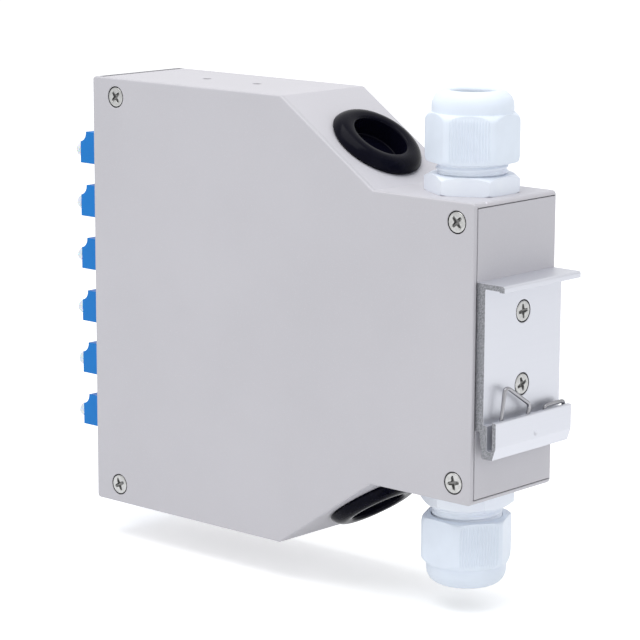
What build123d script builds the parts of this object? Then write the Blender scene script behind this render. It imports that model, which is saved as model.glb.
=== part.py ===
"""DIN rail fibre box: a flat sheet steel case with six duplex fibre adapters in its
front edge, two cable glands and two blind grommets at its stepped rear end, and an
aluminium rail clip with a wire spring on its rear wall.

Frame: the origin is the centre of the rail seat, on the outer face of the clip's
plate. +X points out of the clip towards the rail, +Z is up, and the screwed side
cover faces -Y.
"""
import os
from math import atan2, cos, degrees, pi, radians, sin, tan

from build123d import *

# Case, measured from its front edge and its underside
BOX_DEPTH = 140.0
BOX_HEIGHT = 124.0
BOX_WIDTH = 35.0
SHEET = 1.2
CORNER_R = 1.0
BEND_R = 1.4
CHAMFER_START = 72.8
CHAMFER_END = 105.8
NECK_DROP = 22.4
CORNER_SLIT = 2.1
REAR_SLIT = 0.25
COVER_SEAM = 0.4
COVER_EDGE_R = 0.4

# Rail clip
RAIL_HEIGHT = 35.0
RAIL_LEVEL = 62.3
CLIP_PLATE = 2.8
CLIP_WIDTH = 32.2
CLIP_SCREW_PITCH = 19.4
LIP_ARM = 1.4
LIP_REACH = 6.2
LIP_HOOK = 0.3
LIP_HOOK_LENGTH = 1.6
RAIL_PLAY = 0.6
POCKET_SET = 1.2
POCKET_WIDTH = 1.7
POCKET_WALL = 1.2
POCKET_RISE = 1.1
POCKET_DEPTH = 7.8
POCKET_FLOOR = 2.1
POCKET_BACK = 1.3
POCKET_BACK_LOW = 0.4
POCKET_BEVEL = 3.2
POCKET_BEVEL_IN = 1.1
PLATE_FOOT = 1.8
DIMPLE_R = 0.8
DIMPLE_DEPTH = 0.4
DIMPLE_DROP = 5.2
DIMPLE_PLACE = 0.8
WIRE_R = 0.55
WIRE_REST_GAP = 0.02
WIRE_LEG = -11.2
WIRE_LEAN = 1.3
WIRE_CREST = 1.5
WIRE_KNEE = 0.7
WIRE_RETURN = -0.2
STAPLE_START = 7.2
STAPLE_END = 15.4
STAPLE_LIFT = 0.1
HUMP_HEIGHT = 7.8
HUMP_FALL = 5.7
WIRE_END_DEPTH = 4.0

# Cover screws and the tapped blocks that take them
SCREW_R = 1.5
CLIP_NUT_R = 2.8
CLIP_NUT_LENGTH = 3.0
SCREW_HEAD_R = 3.0
SCREW_LENGTH = 6.0
SCREW_CLEARANCE = 0.2
BLOCK_WALL = 1.7
BLOCK_DEPTH = 3.9
FRONT_SCREW_INSET = 9.2
REAR_SCREW_INSET = 5.8
EDGE_SCREW_INSET = 5.3
RECESS_WIDTH = 0.7
RECESS_LENGTH = 3.2
RECESS_DEPTH = 1.0

# Tapped spare holes in the top
TOP_HOLE_FIRST = 28.6
TAP_R = 1.25
COLLAR_WALL = 0.9
COLLAR_DEPTH = 1.4

# Fibre adapters
ADAPTER_COUNT = 6
ADAPTER_PITCH = 15.8
ADAPTER_SET_DOWN = 0.4
ADAPTER_WIDTH = 12.9
ADAPTER_HEIGHT = 9.3
ADAPTER_FRONT = 17.3
ADAPTER_REAR = 19.7
ADAPTER_STEP = 2.3
ADAPTER_STEP_DROP = 3.0
ADAPTER_CUT_GAP = 0.15
FLANGE_WIDTH = 22.0
FLANGE_THICKNESS = 2.0
FLANGE_HOLE_R = 1.2
PORT_PITCH = 6.25
PORT_SIZE = 4.8
PORT_LEVEL = -1.2
KEY_WIDTH = 3.0
KEY_HEIGHT = 1.9
MIDWALL = 1.6
TUBE_R = 1.45
TUBE_LENGTH = 5.5
SLEEVE_R = 0.87
SLEEVE_BORE_R = 0.63
SLEEVE_END_GAP = 0.4
CAP_GAP = 0.15
CAP_INSERT = 8.0
CAP_HEAD = 3.9
CAP_HEAD_R = 2.1
CAP_WEB = 1.4
SPRING_CLIP = 0.4
SPRING_CLIP_LENGTH = 7.0
SPRING_CLIP_WING = 1.4

# Cable glands
GLAND_PLACE = 125.0
THREAD_R = 9.3
THREAD_HOLE_GAP = 0.15
GLAND_HEX = 22.0
GLAND_FLANGE = 4.8
GLAND_TAIL = 9.0
GLAND_NECK = 9.0
NECK_R = 8.9
GLAND_BORE_R = 6.6
SOCKET_R = 7.4
SOCKET_FLOOR = 5.4
CLAW_LENGTH = 1.7
CLAW_WALL = 1.2
CLAW_SLOTS = 8
CLAW_SLOT_WIDTH = 1.2
NUT_GAP = 0.3
DOME_START = 7.9
DOME_HEX = 22.2
DOME_R = 12.4
DOME_BODY = 13.0
DOME_CHAMFER = 1.4
CROWN_R = 10.8
CROWN_STRAIGHT = 2.0
CROWN_HEIGHT = 3.8
CROWN_MOUTH_R = 5.7
CROWN_SINK = 4.0
CROWN_LIP = 1.1
RIB_COUNT = 15
RIB_PITCH = 0.78
RIB_HEIGHT = 0.28
CONE_START = 10.6
CONE_HEIGHT = 3.6
SEAL_R = 7.1
SEAL_BORE_R = 5.0
SEAL_START = 8.6
SEAL_LENGTH = 8.8
GASKET_WIDTH = 1.2
GASKET_THICKNESS = 1.0
LOCKNUT_HEX = 24.0
LOCKNUT_THICKNESS = 5.0
UPPER_NUT_TURN = -55.0
LOWER_NUT_TURN = 34.0

# Blind grommets in the sloping walls
GROMMET_PLACE = 23.2
GROMMET_HOLE_R = 11.0
GROMMET_R = 13.2
GROMMET_MOUTH_R = 7.7
GROMMET_RISE = 3.3
GROMMET_LIP_R = 0.9
GROMMET_SKIRT = 0.7
GROMMET_WEB = 0.9
GROMMET_WEB_DEPTH = 2.6
GROMMET_BACK_R = 12.7
GROMMET_BACK = 2.8

# Splice tray and cable anchor inside
TRAY_FRONT = 34.0
TRAY_REAR = 98.0
TRAY_END_GAP = 16.0
TRAY_SLOPE_START = 72.0
TRAY_SLOPE_DROP = 17.6
TRAY_POST = 5.0
TRAY_POST_R = 2.7
TRAY_FLOOR = 1.5
TRAY_RIM = 8.0
TRAY_WALL = 1.2
TRAY_CORNER_R = 4.0
TRAY_GAP_START = 14.0
TRAY_GAP_LENGTH = 12.0
TRAY_GAP_REACH = 2.0
SPOOL_R = 19.0
SPOOL_SET = 56.0
SPOOL_GAP = 8.0
TAB_LENGTH = 6.0
TAB_WIDTH = 5.0
LID_THICKNESS = 1.0
LID_INSET = 0.2
COMB_SET = 87.5
COMB_WIDTH = 15.0
COMB_LENGTH = 36.0
COMB_FLOOR = 0.8
COMB_HEIGHT = 4.2
COMB_SLOTS = 6
COMB_FIN = 0.7
TRAY_SCREW_SETS = ((40.0, 6.5), (91.0, 22.0))
PAN_HEAD_R = 2.8
PAN_HEAD_HEIGHT = 2.0
ANCHOR_SET = 118.0
ANCHOR_R = 4.0
ANCHOR_LENGTH = 16.0
ANCHOR_HOLE_R = 1.6
ANCHOR_HOLE_SET = 4.0
ANCHOR_HOLE_GAP = 0.4
ANCHOR_HEAD_R = 4.5
ANCHOR_HEAD = 2.6

FRONT_X = -CLIP_PLATE - BOX_DEPTH
REAR_X = -CLIP_PLATE
BOTTOM_Z = -RAIL_LEVEL
HALF_WIDTH = BOX_WIDTH / 2
COVER_IN = -HALF_WIDTH + SHEET
FAR_IN = HALF_WIDTH - SHEET
SLOPE_ANGLE = atan2(NECK_DROP, CHAMFER_END - CHAMFER_START)
MID_HEIGHT = BOX_HEIGHT / 2
NECK_LOW = NECK_DROP
NECK_HIGH = BOX_HEIGHT - NECK_DROP
SEAT_LOW = -RAIL_HEIGHT / 2 - RAIL_PLAY
POCKET_TOP = SEAT_LOW + POCKET_RISE
POCKET_BOTTOM = POCKET_TOP - POCKET_DEPTH
POCKET_X = POCKET_SET + POCKET_WIDTH / 2
POCKET_FRONT = POCKET_SET + POCKET_WIDTH + POCKET_WALL
TRAY_BACK = FAR_IN - TRAY_POST
TRAY_LOW = TRAY_END_GAP
TRAY_HIGH = BOX_HEIGHT - TRAY_END_GAP
TRAY_SCREWS = [(x, TRAY_LOW + rise) for x, rise in TRAY_SCREW_SETS]
TRAY_SCREWS += [(x, TRAY_HIGH - rise) for x, rise in TRAY_SCREW_SETS]
SPOOL_PLACE = (SPOOL_SET, MID_HEIGHT)
COMB_PLACE = (COMB_SET, MID_HEIGHT)
ANCHOR_PLACE = (ANCHOR_SET, MID_HEIGHT)


def at_x(depth):
    """X of a point this far behind the case's front edge."""
    return FRONT_X + depth


def at_z(height):
    """Z of a point this far above the case's underside."""
    return BOTTOM_Z + height


def slab(face, low_y, high_y):
    """The face, drawn in X and Z, as a plate between two Y values."""
    return extrude(Plane.XZ.offset(-high_y) * face, amount=high_y - low_y)


def rod(radius, low_y, high_y, x, z):
    """A cylinder along Y."""
    return slab(Pos(x, z) * Circle(radius), low_y, high_y)


def block(x_range, y_range, z_range):
    """A box from its three pairs of limits."""
    size = (x_range[1] - x_range[0], y_range[1] - y_range[0], z_range[1] - z_range[0])
    centre = (sum(x_range) / 2, sum(y_range) / 2, sum(z_range) / 2)
    return Pos(*centre) * Box(*size)


def turned(points):
    """A solid turned about Z from a closed outline of radius and height."""
    return revolve(Plane.XZ * Polygon(*points, align=None), Axis.Z)


def side_outline():
    """The case seen from the side: tall in front, stepped in by two slopes to a neck."""
    points = [
        (at_x(0), at_z(0)),
        (at_x(CHAMFER_START), at_z(0)),
        (at_x(CHAMFER_END), at_z(NECK_LOW)),
        (REAR_X, at_z(NECK_LOW)),
        (REAR_X, at_z(NECK_HIGH)),
        (at_x(CHAMFER_END), at_z(NECK_HIGH)),
        (at_x(CHAMFER_START), at_z(BOX_HEIGHT)),
        (at_x(0), at_z(BOX_HEIGHT)),
    ]
    return Polygon(*points, align=None)


def cover_screw_places():
    """The four cover screws: two beside the front edge, two at the neck's end."""
    front = at_x(FRONT_SCREW_INSET)
    rear = REAR_X - REAR_SCREW_INSET
    return [
        (front, at_z(EDGE_SCREW_INSET)),
        (front, at_z(BOX_HEIGHT - EDGE_SCREW_INSET)),
        (rear, at_z(NECK_LOW + EDGE_SCREW_INSET)),
        (rear, at_z(NECK_HIGH - EDGE_SCREW_INSET)),
    ]


def clip_screw_levels():
    """The clip's two screws stand evenly about the rail's centre line."""
    return (-CLIP_SCREW_PITCH / 2, CLIP_SCREW_PITCH / 2)


def adapter_levels():
    """Centre heights of the adapters, from the top one down."""
    top = at_z(MID_HEIGHT - ADAPTER_SET_DOWN) + ADAPTER_PITCH * (ADAPTER_COUNT - 1) / 2
    return [top - ADAPTER_PITCH * i for i in range(ADAPTER_COUNT)]


def upper_slope_place():
    """Origin on the upper slope's outer face, with Z along the slope's outward normal."""
    x = at_x(CHAMFER_START) + GROMMET_PLACE * cos(SLOPE_ANGLE)
    z = at_z(BOX_HEIGHT) - GROMMET_PLACE * sin(SLOPE_ANGLE)
    return Pos(x, 0, z) * Rot(0, degrees(SLOPE_ANGLE), 0)


def lower_slope_place():
    """The same on the lower slope, which mirrors the upper one."""
    x = at_x(CHAMFER_START) + GROMMET_PLACE * cos(SLOPE_ANGLE)
    z = at_z(0) + GROMMET_PLACE * sin(SLOPE_ANGLE)
    return Pos(x, 0, z) * Rot(0, 180 - degrees(SLOPE_ANGLE), 0)


def upper_gland_place():
    """Origin on the neck's top face, at the gland's axis."""
    return Pos(at_x(GLAND_PLACE), 0, at_z(NECK_HIGH))


def lower_gland_place():
    """Origin on the neck's underside, with Z pointing down and out."""
    return Pos(at_x(GLAND_PLACE), 0, at_z(NECK_LOW)) * Rot(180, 0, 0)


def countersunk_screw():
    """A cross-recessed countersunk screw, its head's face at Z 0 and its shank below."""
    shank = turned([
        (0, 0),
        (SCREW_HEAD_R, 0),
        (SCREW_R, SCREW_R - SCREW_HEAD_R),
        (SCREW_R, -SCREW_LENGTH),
        (0, -SCREW_LENGTH),
    ])
    arm = Pos(0, 0, -RECESS_DEPTH / 2) * Box(RECESS_LENGTH, RECESS_WIDTH, RECESS_DEPTH)
    return shank - arm - Rot(0, 0, 90) * arm


def countersink():
    """The hole that a countersunk screw leaves, mouth at Z 0."""
    mouth = SCREW_HEAD_R + SCREW_CLEARANCE
    hole = SCREW_R + SCREW_CLEARANCE
    return turned([
        (0, 1),
        (mouth, 1),
        (mouth, 0),
        (hole, hole - mouth),
        (hole, -SCREW_LENGTH - 1),
        (0, -SCREW_LENGTH - 1),
    ])


def cover_side(x, z):
    """A place on the cover's outer face, Z pointing out of the case."""
    return Pos(x, -HALF_WIDTH, z) * Rot(90, 0, 0)


def clip_side(z):
    """A place on the clip's outer face, Z pointing out of it."""
    return Pos(0, 0, z) * Rot(0, 90, 0)


def enclosure_base():
    """Far side plate with all the narrow walls folded up from it. Slits are left open
    where the front and rear walls meet those above and below, and the rear wall stops
    short of the cover."""
    outline = fillet(side_outline().vertices(), CORNER_R)
    inside = offset(side_outline(), amount=-SHEET, kind=Kind.INTERSECTION)
    shell = slab(outline, COVER_IN, HALF_WIDTH)
    shell = fillet(shell.edges().group_by(Axis.Y)[-1], BEND_R)
    shell -= slab(inside, COVER_IN - 1, FAR_IN)
    for z in (at_z(0), at_z(BOX_HEIGHT)):
        shell -= block(
            (at_x(SHEET), at_x(SHEET + CORNER_SLIT)),
            (COVER_IN - 1, FAR_IN),
            (z - 2 * SHEET, z + 2 * SHEET),
        )
    neck = (at_z(NECK_LOW + SHEET), at_z(NECK_HIGH - SHEET))
    rear = (REAR_X - 1.5 * SHEET, REAR_X + 1)
    shell -= block(rear, (COVER_IN - 1, COVER_IN + COVER_SEAM), neck)
    for z_range in ((neck[0], neck[0] + REAR_SLIT), (neck[1] - REAR_SLIT, neck[1])):
        shell -= block(rear, (COVER_IN - 1, FAR_IN), z_range)
    half = ADAPTER_WIDTH / 2 + ADAPTER_CUT_GAP
    for z in adapter_levels():
        reach = ADAPTER_HEIGHT / 2 + ADAPTER_CUT_GAP
        shell -= block((at_x(-1), at_x(2 * SHEET)), (-half, half), (z - reach, z + reach))
    grommet_hole = Cylinder(GROMMET_HOLE_R, 4 * SHEET)
    shell -= upper_slope_place() * grommet_hole
    shell -= lower_slope_place() * grommet_hole
    gland_hole = Cylinder(THREAD_R + THREAD_HOLE_GAP, 4 * SHEET)
    shell -= upper_gland_place() * gland_hole
    shell -= lower_gland_place() * gland_hole
    for z in clip_screw_levels():
        hole = Cylinder(SCREW_R + SCREW_CLEARANCE, 4 * SHEET)
        shell -= Pos(REAR_X, 0, z) * Rot(0, 90, 0) * hole
    for i in range(2):
        x = at_x(TOP_HOLE_FIRST) + i * CLIP_SCREW_PITCH
        collar_low = at_z(BOX_HEIGHT - SHEET - COLLAR_DEPTH)
        collar = Cylinder(TAP_R + COLLAR_WALL, COLLAR_DEPTH)
        shell += Pos(x, 0, collar_low + COLLAR_DEPTH / 2) * collar
        shell -= Pos(x, 0, at_z(BOX_HEIGHT)) * Cylinder(TAP_R, 4 * SHEET + COLLAR_DEPTH)
    return shell


def side_cover():
    """Flat side plate, its outer edge softly rounded, with four countersunk holes."""
    outline = fillet(side_outline().vertices(), CORNER_R)
    plate = slab(outline, -HALF_WIDTH, COVER_IN)
    plate = fillet(plate.edges().group_by(Axis.Y)[0], COVER_EDGE_R)
    for x, z in cover_screw_places():
        plate -= cover_side(x, z) * countersink()
    return plate


def cover_blocks():
    """Four tapped blocks welded to the walls above and below, behind the cover's screws."""
    blocks = []
    half = SCREW_R + BLOCK_WALL
    for x, z in cover_screw_places():
        upward = 1 if z > at_z(BOX_HEIGHT / 2) else -1
        wall = z + upward * (EDGE_SCREW_INSET - SHEET)
        free = z - upward * half
        block_y = (COVER_IN, COVER_IN + BLOCK_DEPTH)
        post = block((x - half, x + half), block_y, (min(wall, free), max(wall, free)))
        tapped = cover_side(x, z) * turned([
            (0, 1),
            (SCREW_HEAD_R, 1),
            (SCREW_HEAD_R, 0),
            (SCREW_R, SCREW_R - SCREW_HEAD_R),
            (SCREW_R, -SCREW_LENGTH - 1),
            (0, -SCREW_LENGTH - 1),
        ])
        blocks.append(post - tapped)
    return Compound(children=blocks)


def cover_screws():
    """The four cover screws, flush with the cover."""
    screw = countersunk_screw()
    return Compound(children=[cover_side(x, z) * screw for x, z in cover_screw_places()])


def adapter(level):
    """Duplex fibre adapter: two square ports with latch keyways at each end, an inner
    wall with two ferrule tubes, a flange, and a cut-back shoulder at the front end."""
    front = at_x(-ADAPTER_FRONT)
    rear = at_x(ADAPTER_REAR)
    top = level + ADAPTER_HEIGHT / 2
    low = level - ADAPTER_HEIGHT / 2
    half = ADAPTER_WIDTH / 2
    shoulder = top - ADAPTER_STEP_DROP
    profile = make_face([
        Polyline(
            (front + ADAPTER_STEP, top),
            (rear, top),
            (rear, low),
            (front, low),
            (front, shoulder),
        ),
        ThreePointArc(
            (front, shoulder),
            (front + ADAPTER_STEP * sin(pi / 4), top - ADAPTER_STEP_DROP * cos(pi / 4)),
            (front + ADAPTER_STEP, top),
        ),
    ])
    body = slab(profile, -half, half)
    body += block(
        (at_x(-FLANGE_THICKNESS), at_x(0)),
        (-FLANGE_WIDTH / 2, FLANGE_WIDTH / 2),
        (low, top),
    )
    ear = (FLANGE_WIDTH / 2 + half) / 2
    middle = at_x((ADAPTER_REAR - ADAPTER_FRONT) / 2)
    port_z = level + PORT_LEVEL
    for side in (-1, 1):
        y = side * PORT_PITCH / 2
        ear_hole = Rot(0, 90, 0) * Cylinder(FLANGE_HOLE_R, 2 * FLANGE_THICKNESS)
        body -= Pos(at_x(-FLANGE_THICKNESS / 2), side * ear, level) * ear_hole
        for mouth, wall in ((front - 1, middle - MIDWALL / 2), (middle + MIDWALL / 2, rear + 1)):
            body -= block(
                (mouth, wall),
                (y - PORT_SIZE / 2, y + PORT_SIZE / 2),
                (port_z - PORT_SIZE / 2, port_z + PORT_SIZE / 2),
            )
            body -= block(
                (mouth, wall),
                (y - KEY_WIDTH / 2, y + KEY_WIDTH / 2),
                (port_z, port_z + PORT_SIZE / 2 + KEY_HEIGHT),
            )
        tube_length = MIDWALL + 2 * TUBE_LENGTH
        tube = Cylinder(TUBE_R, tube_length) - Cylinder(SLEEVE_R, tube_length)
        body -= Pos(middle, y, port_z) * Rot(0, 90, 0) * Cylinder(SLEEVE_R, MIDWALL)
        body += Pos(middle, y, port_z) * Rot(0, 90, 0) * tube
    return body


def alignment_sleeves():
    """Two ceramic sleeves in the tubes of each adapter."""
    middle = at_x((ADAPTER_REAR - ADAPTER_FRONT) / 2)
    length = MIDWALL + 2 * TUBE_LENGTH - 2 * SLEEVE_END_GAP
    sleeve = Rot(0, 90, 0) * (Cylinder(SLEEVE_R, length) - Cylinder(SLEEVE_BORE_R, length))
    sleeves = []
    for z in adapter_levels():
        for side in (-1, 1):
            sleeves.append(Pos(middle, side * PORT_PITCH / 2, z + PORT_LEVEL) * sleeve)
    return Compound(children=sleeves)


def adapter_clips():
    """Spring steel clip round each adapter, its wings against the back of the wall."""
    clips = []
    start = at_x(SHEET)
    half = ADAPTER_WIDTH / 2
    for z in adapter_levels():
        top = z + ADAPTER_HEIGHT / 2
        low = z - ADAPTER_HEIGHT / 2 + 1
        outer = block(
            (start, start + SPRING_CLIP_LENGTH),
            (-half - SPRING_CLIP, half + SPRING_CLIP),
            (low, top + SPRING_CLIP),
        )
        inner = block((start - 1, start + SPRING_CLIP_LENGTH + 1), (-half, half), (low - 1, top))
        clip = outer - inner
        for side in (-1, 1):
            edge = side * (half + SPRING_CLIP)
            wing = (min(edge, edge + side * SPRING_CLIP_WING), max(edge, edge + side * SPRING_CLIP_WING))
            clip += block((start, start + SPRING_CLIP), wing, (low, top))
        clips.append(clip)
    return Compound(children=clips)


def dust_cap(level):
    """Soft duplex cap: two plugs in the ports, two domed heads and a thin web."""
    mouth = at_x(-ADAPTER_FRONT)
    port_z = level + PORT_LEVEL
    half = PORT_SIZE / 2 - CAP_GAP
    cap = None
    for side in (-1, 1):
        y = side * PORT_PITCH / 2
        plug = block(
            (mouth - CAP_GAP, mouth + CAP_INSERT),
            (y - half, y + half),
            (port_z - half, port_z + half),
        )
        head = Cylinder(CAP_HEAD_R, CAP_HEAD - CAP_GAP)
        head = fillet(head.edges().sort_by(Axis.Z)[-1], CAP_HEAD_R * 0.7)
        head = Pos(mouth - CAP_GAP - (CAP_HEAD - CAP_GAP) / 2, y, port_z) * Rot(0, -90, 0) * head
        piece = plug + head
        cap = piece if cap is None else cap + piece
    web = block(
        (mouth - CAP_GAP - CAP_WEB, mouth - CAP_GAP),
        (-PORT_PITCH / 2, PORT_PITCH / 2),
        (port_z - CAP_HEAD_R * 0.6, port_z + CAP_HEAD_R * 0.6),
    )
    return cap + web


def hexagon(across_flats):
    """A hexagon with two flats square to Y."""
    return RegularPolygon(across_flats / 2, 6, major_radius=False, rotation=30)


def gland_body():
    """One moulding: hexagonal flange, thread to both sides of it and a clamping basket."""
    flange = extrude(hexagon(GLAND_HEX), amount=GLAND_FLANGE)
    corner = GLAND_HEX / 2 / cos(radians(30))
    rounding = turned([
        (0, 0),
        (corner - 0.7, 0),
        (corner + 0.1, 0.5),
        (corner + 0.1, GLAND_FLANGE - 1.1),
        (corner - 1.7, GLAND_FLANGE),
        (0, GLAND_FLANGE),
    ])
    flange = flange & rounding
    neck_top = GLAND_FLANGE + GLAND_NECK
    tail = SHEET + GLAND_TAIL
    thread = Pos(0, 0, (GLAND_FLANGE - tail) / 2) * Cylinder(THREAD_R, GLAND_FLANGE + tail)
    neck = Pos(0, 0, neck_top / 2) * Cylinder(NECK_R, neck_top)
    basket_r = SOCKET_R + CLAW_WALL
    basket = Pos(0, 0, neck_top + CLAW_LENGTH / 2) * Cylinder(basket_r, CLAW_LENGTH)
    for i in range(CLAW_SLOTS):
        slot = Box(2 * basket_r, CLAW_SLOT_WIDTH, CLAW_LENGTH)
        basket -= Pos(0, 0, neck_top + CLAW_LENGTH / 2) * Rot(0, 0, 360 * i / CLAW_SLOTS) * slot
    body = flange + thread + neck + basket
    body -= Pos(0, 0, (neck_top - tail) / 2) * Cylinder(GLAND_BORE_R, neck_top + tail + 2 * CLAW_LENGTH + 2)
    socket = neck_top + CLAW_LENGTH + 1 - SOCKET_FLOOR
    body -= Pos(0, 0, SOCKET_FLOOR + socket / 2) * Cylinder(SOCKET_R, socket)
    seat = THREAD_R + THREAD_HOLE_GAP + GASKET_WIDTH
    body -= Pos(0, 0, GASKET_THICKNESS / 2) * (
        Cylinder(seat, GASKET_THICKNESS) - Cylinder(THREAD_R, GASKET_THICKNESS)
    )
    return body


def ribbed_hexagon():
    """The dome nut's section: a hexagon with three of its six faces finely ribbed."""
    points = []
    flat = DOME_HEX / 2
    face_half = flat * tan(radians(30))
    for i in range(6):
        turn = radians(60 * i)
        local = [(flat, -face_half + 0.01)]
        if i % 2 == 0:
            for j in range(RIB_COUNT):
                y = (j - (RIB_COUNT - 1) / 2) * RIB_PITCH
                local += [
                    (flat, y - RIB_PITCH * 0.3),
                    (flat + RIB_HEIGHT, y),
                    (flat, y + RIB_PITCH * 0.3),
                ]
        for u, v in local:
            points.append((u * cos(turn) - v * sin(turn), u * sin(turn) + v * cos(turn)))
    return Polygon(*points, align=None)


def gland_nut():
    """Dome nut: hexagonal grip with rounded corners, and a crown with a round mouth."""
    shoulder = DOME_START + DOME_BODY
    crown = shoulder + CROWN_STRAIGHT
    top = crown + CROWN_HEIGHT
    inner = THREAD_R + NUT_GAP
    grip = extrude(ribbed_hexagon(), amount=DOME_BODY)
    grip = Pos(0, 0, DOME_START) * grip
    envelope = turned([
        (inner, DOME_START),
        (DOME_R - DOME_CHAMFER, DOME_START),
        (DOME_R, DOME_START + DOME_CHAMFER),
        (DOME_R, shoulder - DOME_CHAMFER),
        (DOME_R - DOME_CHAMFER, shoulder),
        (inner, shoulder),
    ])
    grip = grip & envelope
    cone = DOME_START + CONE_START
    mouth = CROWN_MOUTH_R
    bore = Polyline(
        (mouth, top - CROWN_LIP),
        (mouth, cone + CONE_HEIGHT),
        (inner, cone),
        (inner, shoulder - CROWN_SINK),
    )
    sunk = shoulder - CROWN_SINK
    outer = Polyline((inner, sunk), (CROWN_R, sunk), (CROWN_R, crown))
    dome = ThreePointArc(
        (CROWN_R, crown),
        (CROWN_R - (CROWN_R - mouth - CROWN_LIP) * (1 - cos(pi / 4)) * 1.02,
         crown + CROWN_HEIGHT * sin(pi / 4)),
        (mouth + CROWN_LIP, top),
    )
    lip = ThreePointArc(
        (mouth + CROWN_LIP, top),
        (mouth + CROWN_LIP * (1 - cos(pi / 4)), top - CROWN_LIP * (1 - sin(pi / 4))),
        (mouth, top - CROWN_LIP),
    )
    crown_solid = revolve(Plane.XZ * make_face([bore, outer, dome, lip]), Axis.Z)
    return grip + crown_solid


def gland_seal():
    """Rubber sleeve with a rounded nose that the nut squeezes round the cable."""
    end = SEAL_START + SEAL_LENGTH
    return turned([
        (SEAL_BORE_R, SEAL_START),
        (SEAL_R - 0.5, SEAL_START),
        (SEAL_R, SEAL_START + 0.8),
        (SEAL_R, end - 1.5),
        (SEAL_R - 1.1, end),
        (SEAL_BORE_R, end),
    ])


def gland_gasket():
    """Flat rubber ring in the flange's recess, against the wall."""
    inner = THREAD_R + THREAD_HOLE_GAP
    return turned([
        (inner, 0),
        (inner + GASKET_WIDTH, 0),
        (inner + GASKET_WIDTH, GASKET_THICKNESS),
        (inner, GASKET_THICKNESS),
    ])


def gland_locknut():
    """Hexagonal nut that holds the gland from inside the wall."""
    nut = extrude(hexagon(LOCKNUT_HEX), amount=LOCKNUT_THICKNESS)
    corner = LOCKNUT_HEX / 2 / cos(radians(30))
    nut = nut & turned([
        (0, 0),
        (corner - 1.4, 0),
        (corner + 0.1, 0.9),
        (corner + 0.1, LOCKNUT_THICKNESS),
        (0, LOCKNUT_THICKNESS),
    ])
    nut -= Pos(0, 0, LOCKNUT_THICKNESS / 2) * Cylinder(THREAD_R, LOCKNUT_THICKNESS)
    return Pos(0, 0, -SHEET - LOCKNUT_THICKNESS) * nut


def grommet():
    """Blind rubber grommet: a bead on the slope, highest beside its mouth, a groove
    for the wall, a back flange and a thin web that a cable is pushed through."""
    floor = -SHEET - GROMMET_BACK
    web_low = -GROMMET_WEB_DEPTH - GROMMET_WEB
    lip = GROMMET_RISE - GROMMET_LIP_R
    crest = (GROMMET_MOUTH_R + GROMMET_LIP_R, GROMMET_RISE)
    skirt = (GROMMET_R, GROMMET_SKIRT)
    mouth = (GROMMET_MOUTH_R, lip)
    shortened = GROMMET_LIP_R * (1 - cos(pi / 4))
    inner = ThreePointArc(mouth, (GROMMET_MOUTH_R + shortened, GROMMET_RISE - shortened), crest)
    belly = ((crest[0] + skirt[0]) / 2 + 0.7, (crest[1] + skirt[1]) / 2 + 0.75)
    outer = ThreePointArc(crest, belly, skirt)
    rest = Polyline(
        skirt,
        (GROMMET_R - 0.4, 0),
        (GROMMET_HOLE_R, 0),
        (GROMMET_HOLE_R, -SHEET),
        (GROMMET_BACK_R, -SHEET),
        (GROMMET_BACK_R - 0.5, floor + 0.8),
        (GROMMET_BACK_R - 1.6, floor),
        (GROMMET_MOUTH_R + 0.6, floor),
        (GROMMET_MOUTH_R, web_low),
        (0, web_low),
        (0, -GROMMET_WEB_DEPTH),
        (GROMMET_MOUTH_R, -GROMMET_WEB_DEPTH),
        mouth,
    )
    return revolve(Plane.XZ * make_face([inner, outer, rest]), Axis.Z)


def rail_clip():
    """One aluminium extrusion, sawn to length: a plate, a hooked lip above for the rail
    and a deep pocket below that steps off the case and holds the wire spring."""
    lip_low = RAIL_HEIGHT / 2
    lip_top = lip_low + LIP_ARM
    foot = SEAT_LOW - PLATE_FOOT
    floor = POCKET_BOTTOM - POCKET_FLOOR
    section = Polygon(
        (REAR_X, foot),
        (-POCKET_BACK, foot),
        (-POCKET_BACK_LOW, floor),
        (POCKET_FRONT - POCKET_BEVEL_IN, floor),
        (POCKET_FRONT, floor + POCKET_BEVEL),
        (POCKET_FRONT, POCKET_TOP),
        (POCKET_FRONT - POCKET_WALL, POCKET_TOP),
        (POCKET_FRONT - POCKET_WALL, POCKET_BOTTOM),
        (POCKET_SET, POCKET_BOTTOM),
        (POCKET_SET, SEAT_LOW),
        (0, SEAT_LOW),
        (0, lip_low),
        (LIP_REACH - LIP_HOOK_LENGTH, lip_low),
        (LIP_REACH - LIP_HOOK_LENGTH, lip_low - LIP_HOOK),
        (LIP_REACH, lip_low - LIP_HOOK),
        (LIP_REACH, lip_top),
        (REAR_X, lip_top),
        align=None,
    )
    rounds = (
        (LIP_REACH, lip_top, LIP_ARM * 0.5),
        (0, lip_low, 0.4),
        (POCKET_FRONT, POCKET_TOP, 0.3),
        (POCKET_SET, POCKET_BOTTOM, POCKET_WIDTH * 0.4),
        (POCKET_FRONT - POCKET_WALL, POCKET_BOTTOM, POCKET_WIDTH * 0.4),
        (-POCKET_BACK_LOW, floor, 0.5),
    )
    for x, z, radius in rounds:
        section = fillet(section.vertices().sort_by_distance((x, z))[0], radius)
    clip = slab(section, -CLIP_WIDTH / 2, CLIP_WIDTH / 2)
    for z in clip_screw_levels():
        clip -= clip_side(z) * countersink()
    dimple = Cone(0.1, DIMPLE_R, DIMPLE_DEPTH)
    dimple_x = POCKET_FRONT - DIMPLE_DEPTH / 2
    return clip - Pos(dimple_x, DIMPLE_PLACE, POCKET_TOP - DIMPLE_DROP) * Rot(0, 90, 0) * dimple


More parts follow.
